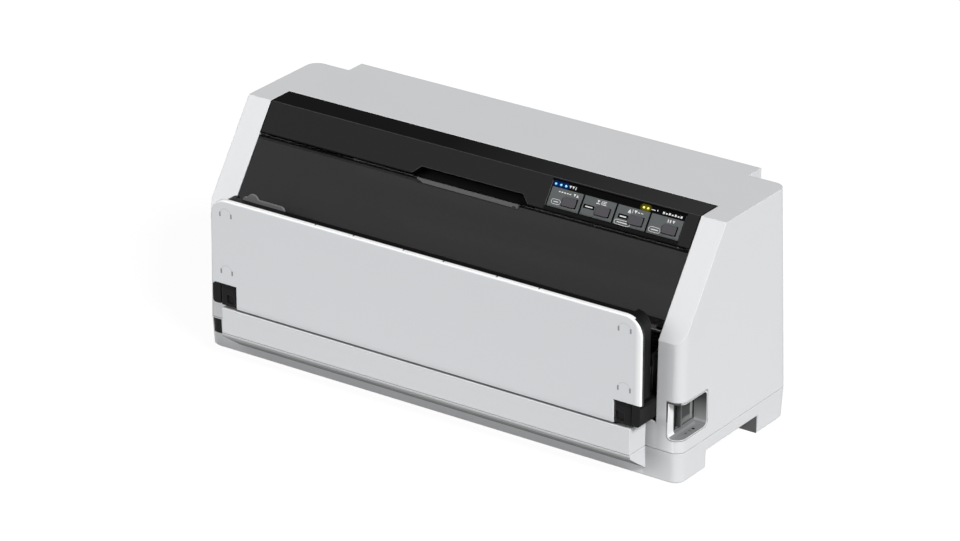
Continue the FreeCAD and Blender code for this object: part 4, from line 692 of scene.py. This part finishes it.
# Window. Smoke-tinted plastic between the pillars: it is nearly black and shows
# only a trace of what lies behind it. A lip on its top edge takes a finger; it is
# opaque and painted paler, as a painted highlight. Painted shade blackens the
# window where it runs under the strip, in the gap between them.
window = Finish("window_smoke")
haze = window.noise(30.0, 3.0)
x, y, z = window.axes()
drop = (y - ridge[0]) * fall[0] + (z - ridge[1]) * fall[1]
smoke = window.mixed(haze, (0.0145, 0.0145, 0.0147), (0.018, 0.018, 0.0182))
lip_end = 0.0339
lip_half = 0.0512
lip = (drop < lip_end) * (abs(x) < lip_half)
# Painted highlight: the lip is painted paler.
lip_highlight = window.mixed(lip, smoke, (0.085, 0.085, 0.086))
wedge = (drop < lip_end) * (x < -0.0445) * (drop > (x + lip_half) * 0.3 + 0.0314)
tick = (abs(x - 0.0476) < 0.0016) * (drop > 0.0326) * (drop < 0.0337)
window.base = window.mixed((wedge + tick).lesser(1.0), lip_highlight, (0.004, 0.004, 0.004))
across, along, up = window.facing()
# Painted shade in the gap under the strip: the window's top edge and its part under the strip are painted
# black, and made rougher to dull their gloss.
top_edge = along * fall[0] + up * fall[1] < -0.5
gap_shade = ((drop < 0.0320) * (abs(x) > lip_half) + top_edge).lesser(1.0)
window.tint(gap_shade, (0.0005, 0.0005, 0.0005))
window.set(base_color=window.base, roughness=0.34 + haze * 0.06 + gap_shade * 0.6, specular_ior_level=0.13,
           alpha=(lip * 0.05 + 0.95).lesser(1.0))
dress("window_cover", window)


# Power switch. A grey lining fills the pocket in the right front corner, and a
# tall rocker with a hollow face stands in its inner wall. Painted shade darkens the
# pocket's floor, its back wall and the slot behind the rocker, and painted light
# brightens the inner wall before it; the rocker's ridges and lower end are painted
# pale as highlights.
lining_grey = moulded("lining_grey", (0.42, 0.425, 0.43), (0.6, 0.6, 0.6), 0.4, ease=0.0003)
x, y, z = lining_grey.axes()
across, along, up = lining_grey.facing()
case_corner = (0.231, -0.067)
lining_back = -0.0347
lining_side = 0.226
lining_low = 0.0385
lining_high = 0.0725
rim = 0.0045
reach = ((x - case_corner[0]).greater(0.0) ** 2 + (case_corner[1] - y).greater(0.0) ** 2) ** 0.5
inward = ((y - lining_back).greater(lining_side - x) + rim).greater(0.0)
upward = ((lining_low - z).greater(z - lining_high) + rim).greater(0.0)
margin = rim - (inward ** 2 + upward ** 2) ** 0.5
deep = reach < 0.0084
# Painted shade on the pocket's back wall, darkest towards the top, and on its floor.
shade_on_back_wall = deep * (along < -0.5)
lining_grey.tint(shade_on_back_wall * z.span(0.044, 0.064), (0.06, 0.062, 0.064))
lining_grey.tint(deep * (up > 0.5), (0.24, 0.243, 0.25))
# The inner wall is painted pale before the rocker as painted light, and black behind it as painted shade in
# the slot, dark grey at its foot.
lit_and_shaded_inner_wall = deep * (across > 0.7) * (x < 0.229)
post = -0.0668
lining_grey.tint(lit_and_shaded_inner_wall * (y < post), (0.85, 0.855, 0.86))
lining_grey.tint(lit_and_shaded_inner_wall * (y > post), (0.004, 0.004, 0.004))
lining_grey.tint(lit_and_shaded_inner_wall * (z < 0.0437) * (y > post), (0.16, 0.162, 0.166))
lining_grey.tint(1 - deep, (0.72, 0.73, 0.74))
outline = (margin > 0.0004) * (margin < 0.0009)
lining_grey.tint((1 - deep) * outline, (0.12, 0.122, 0.125))
dress("switch_bezel", lining_grey)
dress("switch_body", satin_black)
rocker_grey = moulded("rocker_grey", (0.055, 0.056, 0.057), (0.2, 0.2, 0.2), 0.4, ease=0.0003, shine=0.3)
x, y, z = rocker_grey.axes()
# Painted highlights: the rocker's lower end and its ridges are painted paler.
rocker_highlight = (0.19, 0.192, 0.195)
lower_part = z.span(0.0502, 0.0480)
rocker_grey.tint(lower_part, rocker_highlight)
front_ridge = y < -0.0565
rocker_grey.tint(front_ridge, rocker_highlight)
back_ridge = y > -0.0425
rocker_grey.tint(back_ridge, (0.24, 0.242, 0.245))
dress("power_rocker", rocker_grey)
pocket_floor = 0.04003
dot_radius = 0.0013
dot = [(0.2346 + dot_radius * math.sin(math.pi * step / 6),
        -0.0480 + dot_radius * math.cos(math.pi * step / 6)) for step in range(12)]
marks = [[(0.2342, -0.0606), (0.2342, -0.0576), (0.2349, -0.0576), (0.2349, -0.0606)],
         [(0.2332, -0.0534), (0.2332, -0.0528), (0.2360, -0.0528), (0.2360, -0.0534)], dot]
printed_patches("pocket_signs", marks, lambda x, y, lift: (x, y, pocket_floor + lift),
                dark_ink.material, 0.00004)


# Chassis. Side frames, bottom plate, rear stay and paper guides are zinc-plated
# sheet steel with its grey-blue bloom, folded, and screwed together with low
# domed screws. The front rail is given a black finish.
zinc = Finish("zinc_plate")
normal, edge = zinc.ease(0.0003)
flake = zinc.add("ShaderNodeTexVoronoi", sockets={"Vector": zinc.place, "Scale": 140.0})
bloom = zinc.noise(25.0, 4.0)
tone = zinc.number(flake.outputs["Color"]) * 0.4 + bloom * 0.6
zinc.set(base_color=zinc.mixed(tone, (0.42, 0.43, 0.45), (0.62, 0.62, 0.61)), metallic=0.9,
         roughness=0.32 + bloom * 0.2, normal=normal)
for node in ("side_frame_left", "side_frame_right", "chassis_base", "rear_stay", "paper_guides"):
    dress(node, zinc)
screw_head = [(-0.0002, 0.0024), (0.0006, 0.0024), (0.0010, 0.0019), (0.0011, 0.0011), (0.0005, 0.0009)]
frame_face = 0.2066
seats = [(-0.055, 0.037), (0.044, 0.037), (-0.052, 0.099), (0.046, 0.118), (0.060, 0.118)]
for name, side in (("frame_screws_left", -1), ("frame_screws_right", 1)):
    screw = turned("screw", screw_head, (0, 0, 0), (side, 0, 0), 16)
    places = [(side * frame_face, y, z) for y, z in seats]
    held(repeated(name, places, screw, zinc.material), "case")
screw = turned("screw", screw_head, (0, 0, 0), (0, 0, -1), 16)
places = [(x, 0.004, 0.0178) for x in (-0.17, -0.06, 0.06, 0.17)]
held(repeated("base_screws", places, screw, zinc.material, 1.3), "case")
rail_black = moulded("rail_black_finish", (0.008, 0.008, 0.0085), (0.05, 0.05, 0.05), 0.45, grain=700.0, ease=0.0004,
                 shine=0.25)
dress("front_rail", rail_black)


# Ground steel. The guide rod, the rail, the square shaft and the platen bar are
# ground to size, so fine lines run round or along them under a film of oil.
def ground(name, stretch, dark, pale):
    """Ground steel, its lines drawn out the way that the stretch is small."""
    finish = Finish(name)
    line = finish.noise(300.0, 3.0, stretch)
    film = finish.noise(18.0, 2.0)
    finish.set(base_color=finish.mixed(line, dark, pale), metallic=1.0,
               roughness=0.18 + line * 0.12 + film * 0.08,
               normal=finish.bump(line, 0.00001, finish.ease(0.0003)[0]))
    return finish


rod_steel = ground("rod_steel", (14, 1, 1), (0.52, 0.52, 0.53), (0.66, 0.66, 0.66))
bar_steel = ground("bar_steel", (1, 14, 14), (0.42, 0.42, 0.43), (0.56, 0.56, 0.55))
for node in ("guide_rod", "tractor_rail"):
    dress(node, rod_steel)
for node in ("tractor_shaft", "platen"):
    dress(node, bar_steel)


# Feed rollers. Four sleeves of matt black rubber are ground on each bright steel
# shaft. The driven pair lies under the paper and the pinch rollers press on it
# from above.
sleeve_pitch = 0.099015
sleeve_share = 0.1921


def sleeved(name, pale):
    """Rubber on the sleeves and steel between them."""
    finish = Finish(name)
    x, y, z = finish.axes()
    turn = x / sleeve_pitch + 0.5
    sleeve = abs(turn.sum("FRACT", turn) - 0.5) < sleeve_share
    grit = finish.noise(800.0, 3.0)
    edge_highlight_or_rubber = finish.mixed(grit, (0.016, 0.016, 0.017), (0.035, 0.035, 0.036))
    finish.set(base_color=finish.mixed(sleeve, pale, edge_highlight_or_rubber), metallic=1 - sleeve, roughness=sleeve * 0.5 + 0.25,
               normal=finish.bump(grit * sleeve, 0.0001))
    return finish


feed_finish = sleeved("feed_sleeves", (0.5, 0.5, 0.5))
pinch_finish = sleeved("pinch_sleeves", (0.10, 0.10, 0.105))
for node in ("front_feed_roller", "rear_feed_roller"):
    dress(node, feed_finish)
for node in ("front_pinch_roller", "rear_pinch_roller"):
    dress(node, pinch_finish)


# Gears and pulleys. The feed train is moulded in white acetal and turns on its
# shafts and a stub axle; the belt's pulleys are a darker, filled grade.
acetal = moulded("acetal", (0.66, 0.65, 0.6), (0.75, 0.74, 0.7), 0.35, grain=500.0)
for node in ("front_roller_gear", "rear_roller_gear", "idler_gear", "motor_pinion"):
    dress(node, acetal)
pulley_grey = moulded("pulley_grey", (0.22, 0.22, 0.225), (0.4, 0.4, 0.4), 0.4, grain=700.0)
for node in ("drive_pulley", "idler_pulley"):
    dress(node, pulley_grey)


# Motors. Two step motors in plain drawn steel cans with a satin zinc coat: one
# behind the left frame for the feed, and one on the rear stay for the belt.
can = Finish("motor_can")
brushed = can.noise(220.0, 4.0, (1, 1, 12))
can.set(base_color=can.mixed(brushed, (0.36, 0.36, 0.365), (0.52, 0.52, 0.515)), metallic=0.85,
        roughness=0.36 + brushed * 0.14, normal=can.bump(brushed, 0.00002, can.ease(0.0008)[0]))
for node in ("feed_motor", "carriage_motor"):
    dress(node, can)


# Push tractor. Glass-filled grey housings and lids, black pin wheels and green
# lock levers.
housing_grey = moulded("housing_grey", (0.035, 0.036, 0.038), (0.1, 0.1, 0.1), 0.5,
                       grain=420.0, relief=0.00008)
for node in ("tractor_left", "tractor_right", "tractor_door_left", "tractor_door_right"):
    dress(node, housing_grey)
for node in ("sprocket_left", "sprocket_right"):
    dress(node, satin_black)
lever_green = moulded("lever_green", (0.03, 0.2, 0.16), (0.1, 0.34, 0.28), 0.4)
for node in ("tractor_lever_left", "tractor_lever_right"):
    dress(node, lever_green)


# Carriage and print head. The carriage is black filled nylon; the head is cast
# aluminium with a steel nose, dull from its own heat.
nylon = moulded("carriage_nylon", (0.014, 0.014, 0.015), (0.05, 0.05, 0.05), 0.55, grain=380.0, relief=0.0001)
dress("carriage", nylon)
cast = Finish("head_cast")
x, y, z = cast.axes()
lump = cast.noise(260.0, 3.0)
nose = z < 0.0842
body = cast.mixed(lump, (0.055, 0.055, 0.058), (0.09, 0.09, 0.093))
cast.set(base_color=cast.mixed(nose, body, (0.5, 0.5, 0.51)), metallic=nose * 0.6 + 0.4,
         roughness=0.55 - nose * 0.25, normal=cast.bump(lump, 0.0002, cast.ease(0.0004)[0]))
dress("print_head", cast)


# Belt, ribbon and cartridge. The belt is black rubber with a woven face, the
# ribbon is inked cloth, and the cartridge is a black welded box that hangs on the
# side frames, with a blue knob that winds the ribbon.
weave = Finish("belt_rubber")
x, y, z = weave.axes()
thread = x * 3142
ripple = thread.sum("SINE", thread) * 0.5 + 0.5
weave.set(base_color=weave.mixed(weave.noise(1200.0), (0.008, 0.008, 0.009), (0.022, 0.022, 0.023)),
          roughness=0.75, normal=weave.bump(ripple, 0.0002))
dress("timing_belt", weave)
tooth = eased_box("tooth", (-0.0005, -0.0005, 0.0002), (0.0005, 0.0001, 0.0058))
tooth_pitch = 0.002032
places = [(-0.158 + tooth_pitch * index, 0.0613, 0.1095) for index in range(156)]
held(repeated("belt_teeth", places, tooth, weave.material), "case")
inked = Finish("ribbon_cloth")
thread = inked.noise(2600.0, 2.0, (1, 4, 1))
inked.set(base_color=inked.mixed(thread, (0.004, 0.004, 0.008), (0.014, 0.014, 0.022)), roughness=0.9,
          normal=inked.bump(thread, 0.0001))
dress("ribbon_band", inked)
box_black = moulded("cartridge_black", (0.010, 0.010, 0.011), (0.04, 0.04, 0.04), 0.3, grain=900.0)
dress("ribbon_cartridge", box_black)
rib = eased_box("rib", (-0.0006, -0.009, -0.0001), (0.0006, 0.009, 0.0005), 0.0002)
rib_pitch = 0.012
places = [(-0.18 + rib_pitch * index, -0.052, 0.109) for index in range(26)]
held(repeated("cartridge_ribs", places, rib, box_black.material), "case")
knob_blue = moulded("knob_blue", (0.03, 0.10, 0.26), (0.10, 0.2, 0.4), 0.35)
dress("ribbon_knob", knob_blue)


# Boards and sockets. The boards have green solder mask with black chips and
# brown film parts on them; the mains inlet is black with three bright blades, and
# the sockets for data have gold-coloured contacts.
def board_finish(name, top, chip):
    """Solder mask with darker traces, and another colour for what stands on the board."""
    finish = Finish(name)
    x, y, z = finish.axes()
    wander = finish.noise(60.0, 1.0)
    run = x * 400 + wander * 6
    trace = (abs(run.sum("SINE", run)) > 0.82) * 0.5
    mask = finish.mixed(trace, (0.010, 0.085, 0.032), (0.025, 0.15, 0.06))
    tall = z > top
    finish.set(base_color=finish.mixed(tall, mask, chip), roughness=0.38 + tall * 0.15,
               normal=finish.bump(finish.noise(900.0), 0.00003, finish.ease(0.0002)[0]))
    return finish


board_top = 0.02505
dress("main_board", board_finish("main_board_mask", board_top, (0.012, 0.012, 0.013)))
dress("power_supply", board_finish("power_board_mask", board_top, (0.16, 0.13, 0.08)))
chip_black = moulded("chip_black", (0.012, 0.012, 0.013), (0.05, 0.05, 0.05), 0.4, grain=2400.0, ease=0.0001)
part = eased_box("part", (-0.0013, -0.0007, 0), (0.0013, 0.0007, 0.0008), 0.0001)
places = [(-0.186 + 0.006 * index, y, 0.025) for index in range(24) for y in (-0.029, 0.0545)]
held(repeated("board_parts", places, part, chip_black.material), "case")
film = Finish("film_ceramic")
speck = film.noise(700.0)
film.set(base_color=film.mixed(speck, (0.34, 0.24, 0.12), (0.46, 0.34, 0.18)), roughness=0.5)
resistor_form = [(-0.003, 0.0008), (-0.0024, 0.0012), (0.0024, 0.0012), (0.003, 0.0008)]
resistor = turned("resistor", resistor_form, (0, 0, 0.0012), (0, 1, 0), 10)
places = [(0.056 + 0.009 * index, -0.025, 0.025) for index in range(15)]
held(repeated("power_parts", places, resistor, film.material), "case")
inlet_black = moulded("inlet_black", (0.008, 0.008, 0.009), (0.03, 0.03, 0.03), 0.45, shine=0.3)
x, y, z = inlet_black.axes()
blade = (abs(x - 0.218) < 0.0078) * (y > 0.0763) * (y < 0.0868) * (z > 0.0383) * (z < 0.0607)
inlet_black.tint(blade, (0.62, 0.61, 0.58))
inlet_black.set(metallic=blade * 0.95)
dress("ac_inlet", inlet_black)
port_black = moulded("port_black", (0.03, 0.03, 0.032), (0.08, 0.08, 0.08), 0.4)
x, y, z = port_black.axes()
contact_pitch = 0.00216
turn = x / contact_pitch + 0.5
lane = turn.sum("FRACT", turn)
contact = (abs(x) < 0.0246) * (abs(z - 0.0465) < 0.0019) * (y > 0.0838) * (abs(lane - 0.5) < 0.22)
port_black.tint(contact, (0.75, 0.55, 0.22))
port_black.set(metallic=contact * 0.95)
dress("data_ports", port_black)
